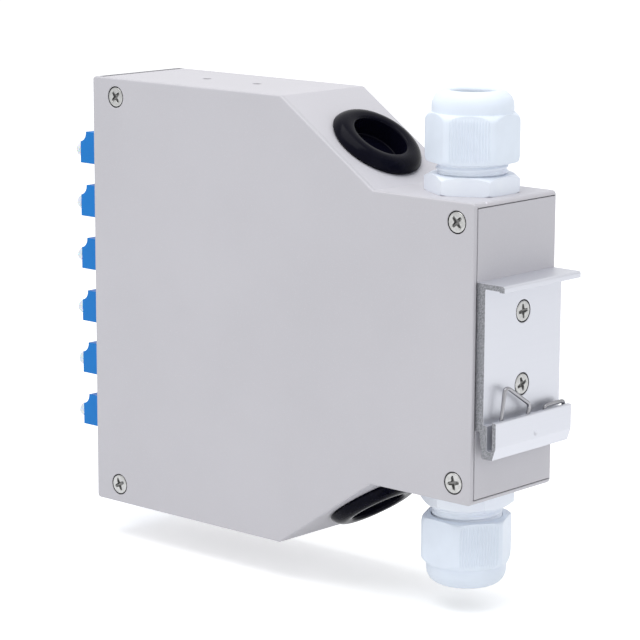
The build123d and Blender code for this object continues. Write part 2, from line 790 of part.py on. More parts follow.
def rail_spring():
    """Bent wire in the clip's pocket: a tall hump that the rail pushes down, a run along
    the pocket's floor behind the punch mark, and a low staple past it."""
    floor_z = POCKET_BOTTOM + WIRE_R + WIRE_REST_GAP
    crest_z = POCKET_TOP + HUMP_HEIGHT
    staple_z = POCKET_TOP + WIRE_R + STAPLE_LIFT
    end_z = POCKET_TOP - WIRE_END_DEPTH
    lean = WIRE_LEAN / HUMP_HEIGHT
    route = [
        (POCKET_X, WIRE_LEG - lean * WIRE_END_DEPTH, end_z),
        (POCKET_X, WIRE_LEG + WIRE_LEAN, crest_z),
        (POCKET_X, WIRE_LEG + WIRE_LEAN + WIRE_CREST, crest_z),
        (POCKET_X, WIRE_KNEE, crest_z - HUMP_FALL),
        (POCKET_X, WIRE_RETURN, POCKET_TOP - 1),
        (POCKET_X, WIRE_RETURN, floor_z),
        (POCKET_X, STAPLE_START, floor_z),
        (POCKET_X, STAPLE_START, staple_z),
        (POCKET_X, STAPLE_END, staple_z),
        (POCKET_X, STAPLE_END, end_z),
    ]
    path = FilletPolyline(*route, radius=[0.65, 0.65, 0.8, 0.8, 1.0, 1.0, 0.9, 0.9])
    start = Plane(origin=route[0], z_dir=path % 0)
    return sweep(start * Circle(WIRE_R), path=path)


def clip_screws():
    """The two screws that hold the clip to the case."""
    return Compound(children=[clip_side(z) * countersunk_screw() for z in clip_screw_levels()])


def clip_nuts():
    """Two round press nuts behind the rear wall, for the clip screws."""
    nuts = []
    start = REAR_X - SHEET
    for z in clip_screw_levels():
        nut = Cylinder(CLIP_NUT_R, CLIP_NUT_LENGTH) - Cylinder(SCREW_R, CLIP_NUT_LENGTH)
        nuts.append(Pos(start - CLIP_NUT_LENGTH / 2, 0, z) * Rot(0, 90, 0) * nut)
    return Compound(children=nuts)


def tray_outline():
    """The tray follows the case: its two rear corners are cut by the slopes."""
    points = [
        (at_x(TRAY_FRONT), at_z(TRAY_LOW)),
        (at_x(TRAY_SLOPE_START), at_z(TRAY_LOW)),
        (at_x(TRAY_REAR), at_z(TRAY_LOW + TRAY_SLOPE_DROP)),
        (at_x(TRAY_REAR), at_z(TRAY_HIGH - TRAY_SLOPE_DROP)),
        (at_x(TRAY_SLOPE_START), at_z(TRAY_HIGH)),
        (at_x(TRAY_FRONT), at_z(TRAY_HIGH)),
    ]
    outline = Polygon(*points, align=None)
    return fillet(outline.vertices(), TRAY_CORNER_R)


def splice_tray():
    """Moulded tray: floor, rim with two gaps for the fibres, a spool ring with
    holding tabs, and a screw hole in each corner."""
    outline = tray_outline()
    inner = offset(outline, amount=-TRAY_WALL)
    floor_in = TRAY_BACK - TRAY_FLOOR
    rim_low = floor_in - TRAY_RIM
    tray = slab(outline, rim_low, TRAY_BACK) - slab(inner, rim_low - 1, floor_in)
    gap_start = TRAY_FRONT + TRAY_GAP_START
    for height in (TRAY_LOW, TRAY_HIGH):
        tray -= block(
            (at_x(gap_start), at_x(gap_start + TRAY_GAP_LENGTH)),
            (rim_low - 1, floor_in),
            (at_z(height) - TRAY_GAP_REACH, at_z(height) + TRAY_GAP_REACH),
        )
    x, z = at_x(SPOOL_PLACE[0]), at_z(SPOOL_PLACE[1])
    ring = Circle(SPOOL_R) - Circle(SPOOL_R - TRAY_WALL)
    ring -= Rectangle(4 * SPOOL_R, SPOOL_GAP)
    tray += slab(Pos(x, z) * ring, rim_low + 1, floor_in)
    for i in range(4):
        turn = Rot(0, 0, 45 + 90 * i)
        tab = Pos(SPOOL_R + TAB_LENGTH / 2 - TRAY_WALL, 0) * Rectangle(TAB_LENGTH, TAB_WIDTH)
        tray += slab(Pos(x, z) * turn * tab, rim_low + 1, rim_low + 2)
    for x, z in TRAY_SCREWS:
        hole_r = SCREW_R + SCREW_CLEARANCE
        tray -= rod(hole_r, TRAY_BACK - 2 * TRAY_FLOOR, TRAY_BACK + 1, at_x(x), at_z(z))
    return tray


def tray_lid():
    """Clear flat lid lying on the tray's rim."""
    rim_low = TRAY_BACK - TRAY_FLOOR - TRAY_RIM
    outline = offset(tray_outline(), amount=-LID_INSET)
    return slab(outline, rim_low - LID_THICKNESS, rim_low)


def splice_comb():
    """Soft comb on the tray's floor whose slots grip the splice sleeves."""
    x, z = at_x(COMB_PLACE[0]), at_z(COMB_PLACE[1])
    floor_in = TRAY_BACK - TRAY_FLOOR
    comb = slab(Pos(x, z) * Rectangle(COMB_WIDTH, COMB_LENGTH), floor_in - COMB_FLOOR, floor_in)
    pitch = (COMB_WIDTH - COMB_FIN) / COMB_SLOTS
    for i in range(COMB_SLOTS + 1):
        fin_x = x - COMB_WIDTH / 2 + COMB_FIN / 2 + pitch * i
        fin = Pos(fin_x, z) * Rectangle(COMB_FIN, COMB_LENGTH)
        comb += slab(fin, floor_in - COMB_FLOOR - COMB_HEIGHT, floor_in - COMB_FLOOR)
    return comb


def tray_posts():
    """Tapped posts that carry the tray off the far side."""
    posts = []
    for x, z in TRAY_SCREWS:
        post = rod(TRAY_POST_R, TRAY_BACK, FAR_IN, at_x(x), at_z(z))
        posts.append(post - rod(SCREW_R, TRAY_BACK - 1, FAR_IN, at_x(x), at_z(z)))
    return Compound(children=posts)


def tray_screws():
    """Pan head screws through the tray's floor."""
    screws = []
    floor_in = TRAY_BACK - TRAY_FLOOR
    for x, z in TRAY_SCREWS:
        head = rod(PAN_HEAD_R, floor_in - PAN_HEAD_HEIGHT, floor_in, at_x(x), at_z(z))
        screws.append(head + rod(SCREW_R, floor_in, FAR_IN - 1, at_x(x), at_z(z)))
    return Compound(children=screws)


def anchor_post():
    """Post with a cross hole that takes a cable's strength member."""
    x, z = at_x(ANCHOR_PLACE[0]), at_z(ANCHOR_PLACE[1])
    low = FAR_IN - ANCHOR_LENGTH
    post = rod(ANCHOR_R, low, FAR_IN, x, z)
    post -= rod(SCREW_R, low - 1, low + SCREW_LENGTH + 1, x, z)
    return post - Pos(x, low + ANCHOR_HOLE_SET, z) * Cylinder(ANCHOR_HOLE_R, 4 * ANCHOR_R)


def anchor_screw():
    """Clamp screw in the end of the anchor post, clear of the cross hole."""
    x, z = at_x(ANCHOR_PLACE[0]), at_z(ANCHOR_PLACE[1])
    low = FAR_IN - ANCHOR_LENGTH
    screw = rod(ANCHOR_HEAD_R, low - ANCHOR_HEAD, low, x, z)
    screw += rod(SCREW_R, low, low + ANCHOR_HOLE_SET - ANCHOR_HOLE_R - ANCHOR_HOLE_GAP, x, z)
    arm = Box(RECESS_LENGTH, RECESS_DEPTH, RECESS_WIDTH)
    face = Pos(x, low - ANCHOR_HEAD + RECESS_DEPTH / 2, z)
    return screw - face * arm - face * Rot(0, 90, 0) * arm


def main():
    """Build every piece and write it to its own file."""
    pieces = {
        "enclosure_base": enclosure_base(),
        "side_cover": side_cover(),
        "cover_blocks": cover_blocks(),
        "cover_screws": cover_screws(),
        "alignment_sleeves": alignment_sleeves(),
        "adapter_clips": adapter_clips(),
        "upper_grommet": upper_slope_place() * grommet(),
        "lower_grommet": lower_slope_place() * grommet(),
        "rail_clip": rail_clip(),
        "rail_spring": rail_spring(),
        "clip_screws": clip_screws(),
        "clip_nuts": clip_nuts(),
        "splice_tray": splice_tray(),
        "tray_lid": tray_lid(),
        "splice_comb": splice_comb(),
        "tray_posts": tray_posts(),
        "tray_screws": tray_screws(),
        "anchor_post": anchor_post(),
        "anchor_screw": anchor_screw(),
    }
    for i, level in enumerate(adapter_levels(), start=1):
        pieces[f"adapter_{i}"] = adapter(level)
        pieces[f"dust_cap_{i}"] = dust_cap(level)
    nut = gland_nut()
    pieces["upper_gland_nut"] = upper_gland_place() * Rot(0, 0, UPPER_NUT_TURN) * nut
    pieces["lower_gland_nut"] = lower_gland_place() * Rot(0, 0, LOWER_NUT_TURN) * nut
    gland_pieces = {
        "gland_body": gland_body(),
        "gland_seal": gland_seal(),
        "gland_gasket": gland_gasket(),
        "gland_locknut": gland_locknut(),
    }
    for name, piece in gland_pieces.items():
        pieces["upper_" + name] = upper_gland_place() * piece
        pieces["lower_" + name] = lower_gland_place() * piece
    os.makedirs("parts", exist_ok=True)
    for name, piece in pieces.items():
        export_step(piece, f"parts/{name}.step")


main()
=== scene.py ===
"""Looks of the DIN rail fibre box: finishes for its packed solids, and finer meshes for
its dome nuts, gland threads, grommets, dust caps, screws and wire spring."""

from math import cos, pi, radians, sin

import bpy
import numpy as np
from bpy.props import FloatProperty, FloatVectorProperty, PointerProperty
from mathutils import Matrix, Vector


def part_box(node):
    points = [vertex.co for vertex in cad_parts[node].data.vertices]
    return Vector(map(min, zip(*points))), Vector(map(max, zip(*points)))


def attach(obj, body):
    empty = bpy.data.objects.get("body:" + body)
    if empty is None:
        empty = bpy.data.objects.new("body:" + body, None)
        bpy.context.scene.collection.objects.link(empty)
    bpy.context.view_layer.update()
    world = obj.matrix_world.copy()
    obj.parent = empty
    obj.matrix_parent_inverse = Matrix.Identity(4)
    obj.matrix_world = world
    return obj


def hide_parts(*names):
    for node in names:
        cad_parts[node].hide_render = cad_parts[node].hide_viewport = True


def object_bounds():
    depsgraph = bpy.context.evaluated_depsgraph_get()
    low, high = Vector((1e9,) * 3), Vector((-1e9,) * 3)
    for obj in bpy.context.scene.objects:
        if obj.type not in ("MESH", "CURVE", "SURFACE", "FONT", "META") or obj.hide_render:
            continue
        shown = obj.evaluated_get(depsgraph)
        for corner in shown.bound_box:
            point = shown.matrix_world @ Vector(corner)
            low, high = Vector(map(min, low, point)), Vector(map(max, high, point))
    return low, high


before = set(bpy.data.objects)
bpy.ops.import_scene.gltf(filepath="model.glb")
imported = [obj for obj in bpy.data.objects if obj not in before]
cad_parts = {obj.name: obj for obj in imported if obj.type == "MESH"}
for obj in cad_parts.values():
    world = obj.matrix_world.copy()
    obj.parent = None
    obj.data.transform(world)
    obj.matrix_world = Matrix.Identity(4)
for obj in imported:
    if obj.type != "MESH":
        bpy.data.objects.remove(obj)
CAD_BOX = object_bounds()

bl_info = {
    "name": "DIN rail fibre box",
    "version": (1, 0, 0),
    "blender": (4, 5, 0),
    "location": "3D View > Sidebar > Fibre box",
    "description": "Dresses the packed solids of a DIN rail fibre box",
    "category": "Object",
}

MM = 0.001

# Sizes that the finer meshes share with the packed solids, in millimetres
FRONT_X = -142.8
ROOF_Z = 61.7
UNDERSIDE_Z = -62.3
SLOPE_START = 72.8
SLOPE_RUN = 33.0
NECK_DROP = 22.4
GROMMET_ALONG = 23.2
THREAD_SPAN = (4.85, 13.75)
THREAD_ROOT = 8.92
THREAD_CREST = 9.5
HEAD_RADIUS = 2.78
SINK_RADIUS = 3.0
SCREW_LENGTH = 6.0
WIRE_X = 2.05
CAP_PITCH_HALF = 3.125
PLUG_LENGTH = 8.0

# How far each dome nut is turned in the photo
NUT_TURNS = {"upper": radians(-55), "lower": radians(34)}

# In metres: the lower dome nut travels 6 mm down from rest, and the floor stays clear of
# it. The lamps look at the middle of the case.
FLOOR_GAP = 0.0068
LAMP_TARGET = (-0.07, 0, 0)


def middle(node):
    """Middle of a packed node's box."""
    low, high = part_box(node)
    return (low + high) / 2


# Settings


class CaseSettings(bpy.types.PropertyGroup):
    """Painted sheet steel."""

    paint: FloatVectorProperty(
        name="Paint", description="Powder coat colour", default=(0.577, 0.564, 0.598),
        size=3, min=0, max=1, subtype="COLOR",
    )
    grain: FloatProperty(
        name="Grain", description="Width of the powder coat's dimples",
        default=0.0009, unit="LENGTH", precision=5,
    )
    edge_radius: FloatProperty(
        name="Edge radius", description="Softness of the painted edges",
        default=0.0004, unit="LENGTH", precision=5,
    )


class GlandSettings(bpy.types.PropertyGroup):
    """Moulded cable glands."""

    colour: FloatVectorProperty(
        name="Polyamide", description="Colour of the moulded glands",
        default=(0.80, 0.865, 0.960), size=3, min=0, max=1, subtype="COLOR",
    )
    # The bodies are the nuts' polyamide painted paler: painted light where the dome nuts shade them.
    body: FloatVectorProperty(
        name="Body", description="Colour of the gland bodies, a little paler than the nuts",
        default=(0.87, 0.91, 1.0), size=3, min=0, max=1, subtype="COLOR",
    )
    rib_pitch: FloatProperty(
        name="Rib pitch", description="Distance between the ribs of the dome nut",
        default=0.00078, unit="LENGTH", precision=5,
    )
    rib_height: FloatProperty(
        name="Rib height", description="How far the ribs stand out of the nut's face",
        default=0.00028, unit="LENGTH", precision=5,
    )
    thread_pitch: FloatProperty(
        name="Thread pitch", description="Rise of the gland's thread in one turn",
        default=0.0015, unit="LENGTH", precision=5,
    )


class PlasticSettings(bpy.types.PropertyGroup):
    """Adapters, caps and rubber."""

    adapter: FloatVectorProperty(
        name="Adapter", description="Colour of the fibre adapters",
        default=(0.012, 0.208, 0.622), size=3, min=0, max=1, subtype="COLOR",
    )
    cap: FloatVectorProperty(
        name="Dust cap", description="Colour of the milky dust caps",
        default=(0.70, 0.79, 0.84), size=3, min=0, max=1, subtype="COLOR",
    )
    rubber: FloatVectorProperty(
        name="Rubber", description="Colour of the grommets",
        default=(0.0025, 0.0025, 0.0075), size=3, min=0, max=1, subtype="COLOR",
    )


class MetalSettings(bpy.types.PropertyGroup):
    """Rail clip, spring and fasteners."""

    aluminium: FloatVectorProperty(
        name="Aluminium", description="Colour of the extruded rail clip",
        default=(0.64, 0.65, 0.70), size=3, min=0, max=1, subtype="COLOR",
    )
    plating: FloatVectorProperty(
        name="Plating", description="Colour of the screws' plating",
        default=(0.46, 0.46, 0.455), size=3, min=0, max=1, subtype="COLOR",
    )
    wire_radius: FloatProperty(
        name="Wire radius", description="Half the wire spring's thickness",
        default=0.00055, unit="LENGTH", precision=5,
    )


class StageSettings(bpy.types.PropertyGroup):
    """Camera, lamps and floor."""

    azimuth: FloatProperty(
        name="Azimuth", description="Where the camera stands round the box",
        default=radians(41.86), unit="ROTATION",
    )
    elevation: FloatProperty(
        name="Elevation", description="How high the camera stands",
        default=radians(11.10), unit="ROTATION",
    )
    roll: FloatProperty(
        name="Roll", description="Camera turn about its line of sight",
        default=radians(0.24), unit="ROTATION",
    )
    distance: FloatProperty(
        name="Distance", description="From the camera to the point it looks at",
        default=0.7412, unit="LENGTH",
    )
    lens: FloatProperty(name="Lens", description="Focal length", default=150.5, unit="CAMERA")
    target: FloatVectorProperty(
        name="Target", description="Point the camera looks at",
        default=(-0.06995, -0.00104, -0.00193), size=3, unit="LENGTH", precision=5,
    )
    key: FloatProperty(name="Key", description="Power of the large lamp", default=7.0, unit="POWER")
    fill: FloatProperty(name="Fill", description="Power of the lamp on the rail's side", default=0.25,
                        unit="POWER")
    ambient: FloatProperty(name="Ambient", description="Strength of the light from all round",
                           default=0.72, min=0)


SETTINGS = {
    "fibre_case": CaseSettings,
    "fibre_gland": GlandSettings,
    "fibre_plastic": PlasticSettings,
    "fibre_metal": MetalSettings,
    "fibre_stage": StageSettings,
}


# Shader building


def add(tree, kind, **values):
    """A new shader node; keywords set its properties, and names of its sockets set those."""
    node = tree.nodes.new(kind)
    for name, value in values.items():
        setattr(node, name, value)
    return node


def feed(tree, node, **sockets):
    """Sets or links input sockets, named in lower case with underscores for spaces."""
    for name, value in sockets.items():
        socket = next(s for s in node.inputs if s.name.lower().replace(" ", "_") == name and s.enabled)
        if isinstance(value, bpy.types.NodeSocket):
            tree.links.new(value, socket)
        else:
            socket.default_value = value
    return node


def maths(tree, operation, first, second=0.0):
    """One sum on two values or sockets."""
    node = add(tree, "ShaderNodeMath", operation=operation)
    for socket, value in zip(node.inputs, (first, second)):
        if isinstance(value, bpy.types.NodeSocket):
            tree.links.new(value, socket)
        else:
            socket.default_value = value
    return node.outputs[0]


def ramp(tree, value, low, high, to_low=0.0, to_high=1.0):
    """Carries a value from one range to another, smoothly, and stops at its ends."""
    node = add(tree, "ShaderNodeMapRange", interpolation_type="SMOOTHSTEP")
    tree.links.new(value, node.inputs["Value"])
    node.inputs["From Min"].default_value = low
    node.inputs["From Max"].default_value = high
    node.inputs["To Min"].default_value = to_low
    node.inputs["To Max"].default_value = to_high
    return node.outputs["Result"]


def blend_colour(tree, factor, first, second):
    """A mix of two colours."""
    node = add(tree, "ShaderNodeMix", data_type="RGBA")
    for socket, value in ((node.inputs[0], factor), (node.inputs[6], first), (node.inputs[7], second)):
        if isinstance(value, bpy.types.NodeSocket):
            tree.links.new(value, socket)
        elif socket.type == "RGBA":
            socket.default_value = (*value[:3], 1.0)
        else:
            socket.default_value = value
    return node.outputs[2]


def new_group(name, inputs, outputs):
    """An empty node group with named sockets."""
    tree = bpy.data.node_groups.new(name, "ShaderNodeTree")
    for label, kind, value in inputs:
        socket = tree.interface.new_socket(label, in_out="INPUT", socket_type=kind)
        socket.default_value = value
    for label, kind in outputs:
        tree.interface.new_socket(label, in_out="OUTPUT", socket_type=kind)
    return tree, tree.nodes.new("NodeGroupInput").outputs, tree.nodes.new("NodeGroupOutput").inputs


def place_group(tree, name, **sockets):
    """A group placed in a material."""
    node = add(tree, "ShaderNodeGroup", node_tree=bpy.data.node_groups[name])
    return feed(tree, node, **sockets)


def noise(tree, vector, scale, detail=2.0, roughness=0.5):
    """Noise value at a place."""
    node = add(tree, "ShaderNodeTexNoise")
    feed(tree, node, vector=vector, scale=scale, detail=detail, roughness=roughness)
    return node.outputs[0]


def object_place(tree):
    """Object coordinates, in metres."""
    return add(tree, "ShaderNodeTexCoord").outputs["Object"]


def build_powder_grain():
    """Powder coat: rounded dimples a little under a millimetre wide over a finer grain, and
    a slow drift of tone."""
    tree, given, out = new_group(
        "powder_grain",
        [("Width", "NodeSocketFloat", 0.0009), ("Fine Share", "NodeSocketFloat", 0.35)],
        [("Height", "NodeSocketFloat"), ("Tone", "NodeSocketFloat"), ("Speck", "NodeSocketFloat")],
    )
    place = object_place(tree)
    scale = maths(tree, "DIVIDE", 1.0, given["Width"])
    wide = noise(tree, place, scale, 1.0)
    fine = noise(tree, place, maths(tree, "MULTIPLY", scale, 3.1), 2.0)
    height = maths(tree, "ADD", wide, maths(tree, "MULTIPLY", fine, given["Fine Share"]))
    tree.links.new(height, out["Height"])
    tree.links.new(ramp(tree, noise(tree, place, 24.0, 3.0), 0.3, 0.7), out["Tone"])
    tree.links.new(ramp(tree, fine, 0.60, 0.78), out["Speck"])


def build_soft_edge():
    """Rounds the look of sharp edges, and gives a mask of where they are."""
    tree, given, out = new_group(
        "soft_edge",
        [("Radius", "NodeSocketFloat", 0.0004)],
        [("Normal", "NodeSocketVector"), ("Edge", "NodeSocketFloat")],
    )
    bevel = add(tree, "ShaderNodeBevel", samples=6)
    tree.links.new(given["Radius"], bevel.inputs["Radius"])
    true_normal = add(tree, "ShaderNodeNewGeometry").outputs["Normal"]
    dot = add(tree, "ShaderNodeVectorMath", operation="DOT_PRODUCT")
    tree.links.new(bevel.outputs[0], dot.inputs[0])
    tree.links.new(true_normal, dot.inputs[1])
    tree.links.new(bevel.outputs[0], out["Normal"])
    tree.links.new(ramp(tree, dot.outputs["Value"], 0.985, 0.80), out["Edge"])


def build_mould_skin():
    """Spark-eroded mould skin: a fine even grain, with faint flow clouds in the tone."""
    tree, given, out = new_group(
        "mould_skin",
        [("Grain", "NodeSocketFloat", 6000.0), ("Cloud", "NodeSocketFloat", 90.0)],
        [("Height", "NodeSocketFloat"), ("Cloud", "NodeSocketFloat")],
    )
    place = object_place(tree)
    tree.links.new(noise(tree, place, given["Grain"], 2.0), out["Height"])
    tree.links.new(ramp(tree, noise(tree, place, given["Cloud"], 3.0), 0.3, 0.7), out["Cloud"])


def build_drawn_lines():
    """Lines left by a die or a brush: noise stretched a hundredfold along one axis."""
    tree, given, out = new_group(
        "drawn_lines",
        [("Stretch", "NodeSocketVector", (1.0, 0.01, 1.0)), ("Scale", "NodeSocketFloat", 2500.0)],
        [("Height", "NodeSocketFloat"), ("Tone", "NodeSocketFloat")],
    )
    squeeze = add(tree, "ShaderNodeVectorMath", operation="MULTIPLY")
    tree.links.new(object_place(tree), squeeze.inputs[0])
    tree.links.new(given["Stretch"], squeeze.inputs[1])
    lines = noise(tree, squeeze.outputs[0], given["Scale"], 3.0, 0.6)
    tree.links.new(lines, out["Height"])
    tree.links.new(ramp(tree, lines, 0.3, 0.7), out["Tone"])


def build_saw_cut():
    """Sawn faces that look along Y: a fine slanting grain, and a mask of the faces."""
    tree, given, out = new_group(
        "saw_cut",
        [("Slant", "NodeSocketFloat", 0.9), ("Scale", "NodeSocketFloat", 3600.0)],
        [("Mask", "NodeSocketFloat"), ("Height", "NodeSocketFloat"), ("Tone", "NodeSocketFloat")],
    )
    source = add(tree, "ShaderNodeTexCoord")
    normal = add(tree, "ShaderNodeSeparateXYZ")
    tree.links.new(source.outputs["Normal"], normal.inputs[0])
    facing = maths(tree, "ABSOLUTE", normal.outputs["Y"])
    tree.links.new(ramp(tree, facing, 0.85, 0.97), out["Mask"])
    spin = add(tree, "ShaderNodeVectorRotate", rotation_type="Y_AXIS")
    tree.links.new(source.outputs["Object"], spin.inputs["Vector"])
    tree.links.new(given["Slant"], spin.inputs["Angle"])
    squeeze = add(tree, "ShaderNodeVectorMath", operation="MULTIPLY")
    squeeze.inputs[1].default_value = (0.35, 1.0, 1.0)
    tree.links.new(spin.outputs[0], squeeze.inputs[0])
    marks = noise(tree, squeeze.outputs[0], given["Scale"], 4.0, 0.7)
    tree.links.new(marks, out["Height"])
    tree.links.new(ramp(tree, marks, 0.38, 0.62), out["Tone"])


def start_material(name):
    """A material with only its output and a Principled BSDF."""
    material = bpy.data.materials.new(name)
    material.use_nodes = True
    tree = material.node_tree
    tree.nodes.clear()
    surface = add(tree, "ShaderNodeBsdfPrincipled")
    tree.links.new(surface.outputs[0], add(tree, "ShaderNodeOutputMaterial").inputs["Surface"])
    return material, tree, surface


def bump(tree, height, distance, strength=1.0, normal=None):
    """Normal of a bumpy surface."""
    node = add(tree, "ShaderNodeBump")
    feed(tree, node, height=height, distance=distance, strength=strength)
    if normal is not None:
        tree.links.new(normal, node.inputs["Normal"])
    return node.outputs[0]


def shade(colour, amount):
    """The colour, made lighter or darker by a factor."""
    return tuple(min(1.0, c * amount) for c in colour[:3])


def powder_coat(name, colour, width, edge_radius, chip=None):
    """Satin powder coat over steel: orange-peel bump, specks of tone, edges painted paler as a
    highlight and, at a place, one small ragged chip down to the pale primer."""
    material, tree, surface = start_material(name)
    grain = place_group(tree, "powder_grain", width=width)
    edge = place_group(tree, "soft_edge", radius=edge_radius)
    toned = blend_colour(tree, grain.outputs["Tone"], shade(colour, 0.975), shade(colour, 1.02))
    specked = blend_colour(tree, grain.outputs["Speck"], toned, shade(colour, 1.10))
    if chip is not None:
        place = object_place(tree)
        away = add(tree, "ShaderNodeVectorMath", operation="DISTANCE")
        tree.links.new(place, away.inputs[0])
        away.inputs[1].default_value = chip
        rag = maths(tree, "MULTIPLY", noise(tree, place, 2500.0), 0.0006)
        bare = ramp(tree, maths(tree, "ADD", away.outputs["Value"], rag), 0.0006, 0.0010, 1.0, 0.0)
        specked = blend_colour(tree, bare, specked, shade(colour, 1.5))
    # Edges are painted paler: a painted highlight along them.
    edge_highlight = maths(tree, "MULTIPLY", edge.outputs["Edge"], 0.10)
    feed(
        tree, surface,
        base_color=blend_colour(tree, edge_highlight, specked, shade(colour, 1.3)),
        roughness=ramp(tree, grain.outputs["Tone"], 0.0, 1.0, 0.50, 0.56),
        normal=bump(tree, grain.outputs["Height"], 0.00003, 0.55, edge.outputs["Normal"]),
        specular_ior_level=0.35,
    )
    return material


def moulded_plastic(name, colour, rough, radius, depth=0.000008, gloss=0.5):
    """Moulded plastic: fine skin, faint clouds, softened edges."""
    material, tree, surface = start_material(name)
    skin = place_group(tree, "mould_skin")
    edge = place_group(tree, "soft_edge", radius=radius)
    feed(
        tree, surface,
        base_color=blend_colour(tree, skin.outputs["Cloud"], shade(colour, 0.97), shade(colour, 1.03)),
        roughness=ramp(tree, skin.outputs["Cloud"], 0.0, 1.0, rough - 0.04, rough + 0.04),
        normal=bump(tree, skin.outputs["Height"], depth, 0.6, edge.outputs["Normal"]),
        specular_ior_level=gloss,
    )
    return material


def milky_cap(name, colour):
    """Soft milky plastic that lets some light through."""
    material, tree, surface = start_material(name)
    skin = place_group(tree, "mould_skin", cloud=300.0)
    feed(
        tree, surface,
        base_color=blend_colour(tree, skin.outputs["Cloud"], shade(colour, 0.96), shade(colour, 1.03)),
        roughness=ramp(tree, skin.outputs["Cloud"], 0.0, 1.0, 0.30, 0.38),
        normal=bump(tree, skin.outputs["Height"], 0.000005, 0.5),
        subsurface_weight=0.6,
        subsurface_scale=0.003,
        transmission_weight=0.12,
        ior=1.45,
    )
    return material


def rubber(name, colour, rough, gloss=0.35):
    """Moulded rubber: fine skin and a bloom of pale dust."""
    material, tree, surface = start_material(name)
    skin = place_group(tree, "mould_skin", grain=3500.0, cloud=160.0)
    bloom = maths(tree, "MULTIPLY", skin.outputs["Cloud"], 0.004)
    feed(
        tree, surface,
        base_color=blend_colour(tree, bloom, colour, (0.30, 0.30, 0.31)),
        roughness=ramp(tree, skin.outputs["Cloud"], 0.0, 1.0, rough - 0.05, rough + 0.06),
        normal=bump(tree, skin.outputs["Height"], 0.000006, 0.4),
        specular_ior_level=gloss,
    )
    return material


def drawn_metal(name, colour, rough, stretch, scale=2500.0, depth=0.000006, radius=0.0002):
    """Bright metal with fine lines along one axis."""
    material, tree, surface = start_material(name)
    lines = place_group(tree, "drawn_lines", stretch=stretch, scale=scale)
    edge = place_group(tree, "soft_edge", radius=radius)
    feed(
        tree, surface,
        base_color=blend_colour(tree, lines.outputs["Tone"], shade(colour, 0.90), shade(colour, 1.06)),
        roughness=ramp(tree, lines.outputs["Tone"], 0.0, 1.0, rough + 0.06, rough - 0.04),
        metallic=1.0,
        normal=bump(tree, lines.outputs["Height"], depth, 0.7, edge.outputs["Normal"]),
    )
    return material


def extruded_aluminium(name, colour):
    """Pickled extrusion: faint die lines along Y, darker sawn ends with slanting scratches,
    and edges painted paler as a highlight."""
    material, tree, surface = start_material(name)
    lines = place_group(tree, "drawn_lines", stretch=(1.0, 0.02, 1.0), scale=1400.0)
    saw = place_group(tree, "saw_cut")
    edge = place_group(tree, "soft_edge", radius=0.00025)
    face = blend_colour(tree, lines.outputs["Tone"], shade(colour, 0.995), shade(colour, 1.004))
    sawn = blend_colour(tree, saw.outputs["Tone"], shade(colour, 0.24), shade(colour, 0.52))
    # Edges are painted paler: a painted highlight along them.
    edge_highlight = maths(tree, "MULTIPLY", edge.outputs["Edge"], 0.25)
    sawn_height = maths(tree, "MULTIPLY", saw.outputs["Height"], saw.outputs["Mask"])
    face_height = maths(tree, "MULTIPLY", lines.outputs["Height"], 0.005)
    feed(
        tree, surface,
        base_color=blend_colour(
            tree, edge_highlight, blend_colour(tree, saw.outputs["Mask"], face, sawn), shade(colour, 1.15)
        ),
        roughness=ramp(tree, saw.outputs["Mask"], 0.0, 1.0, 0.46, 0.42),
        metallic=0.75,
        normal=bump(
            tree, maths(tree, "ADD", sawn_height, face_height), 0.00009, 0.8, edge.outputs["Normal"]
        ),
    )
    return material


def clear_sheet(name, colour):
    """Clear plastic sheet with faint scuffs."""
    material, tree, surface = start_material(name)
    skin = place_group(tree, "mould_skin", grain=2500.0, cloud=60.0)
    feed(
        tree, surface,
        base_color=blend_colour(tree, skin.outputs["Cloud"], shade(colour, 0.97), colour),
        roughness=ramp(tree, skin.outputs["Cloud"], 0.0, 1.0, 0.05, 0.12),
        normal=bump(tree, skin.outputs["Height"], 0.000003, 0.4),
        transmission_weight=0.85,
        ior=1.49,
    )
    return material


# Mesh building


def grid_faces(rows, columns, close_rows, close_columns, flip=False):
    """Quads between neighbouring points of a grid. A closed direction joins its last line
    of points to its first."""
    index = np.arange(rows * columns).reshape(rows, columns)
    if close_rows:
        index = np.vstack([index, index[:1]])
    if close_columns:
        index = np.hstack([index, index[:, :1]])
    quads = np.stack([index[:-1, :-1], index[1:, :-1], index[1:, 1:], index[:-1, 1:]], axis=-1)
    quads = quads.reshape(-1, 4)
    return quads[:, ::-1] if flip else quads


class Shape:
    """Collects surfaces, each a grid of points, into one mesh."""

    def __init__(self):
        self.points = []
        self.faces = []
        self.finishes = []
        self.count = 0

    def grid(self, points, close_rows=False, close_columns=True, flip=False, caps=(), finish=0):
        """Adds a grid of points of shape rows by columns by 3. A cap closes the first (0)
        or last (-1) row with one flat face. finish is the place of its material in the
        list given to build, or one such place for each face."""
        rows, columns = points.shape[:2]
        faces = grid_faces(rows, columns, close_rows, close_columns, flip) + self.count
        self.faces.extend(faces.tolist())
        self.finishes.extend(np.broadcast_to(finish, len(faces)).tolist())
        for row in caps:
            ring = np.arange(columns) + self.count + (rows - 1) * columns * (row != 0)
            if (row == 0) != flip:
                ring = ring[::-1]
            self.faces.append(ring.tolist()[::-1])
            self.finishes.append(int(np.max(finish)))
        self.points.append(points.reshape(-1, 3))
        self.count += rows * columns
        return self

    def build(self, name, body, slot, materials, replaces=(), angle=30.0):
        """Makes the object, at the origin, riding on its body."""
        mesh = bpy.data.meshes.new(name)
        mesh.from_pydata(np.vstack(self.points), [], self.faces)
        for material in materials:
            mesh.materials.append(material)
        mesh.polygons.foreach_set("material_index", self.finishes)
        mesh.validate()
        mesh.shade_smooth()
        mesh.set_sharp_from_angle(angle=radians(angle))
        piece = bpy.data.objects.new(name, mesh)
        bpy.context.collection.objects.link(piece)
        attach(piece, body)
        if replaces:
            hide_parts(*replaces)
        return piece


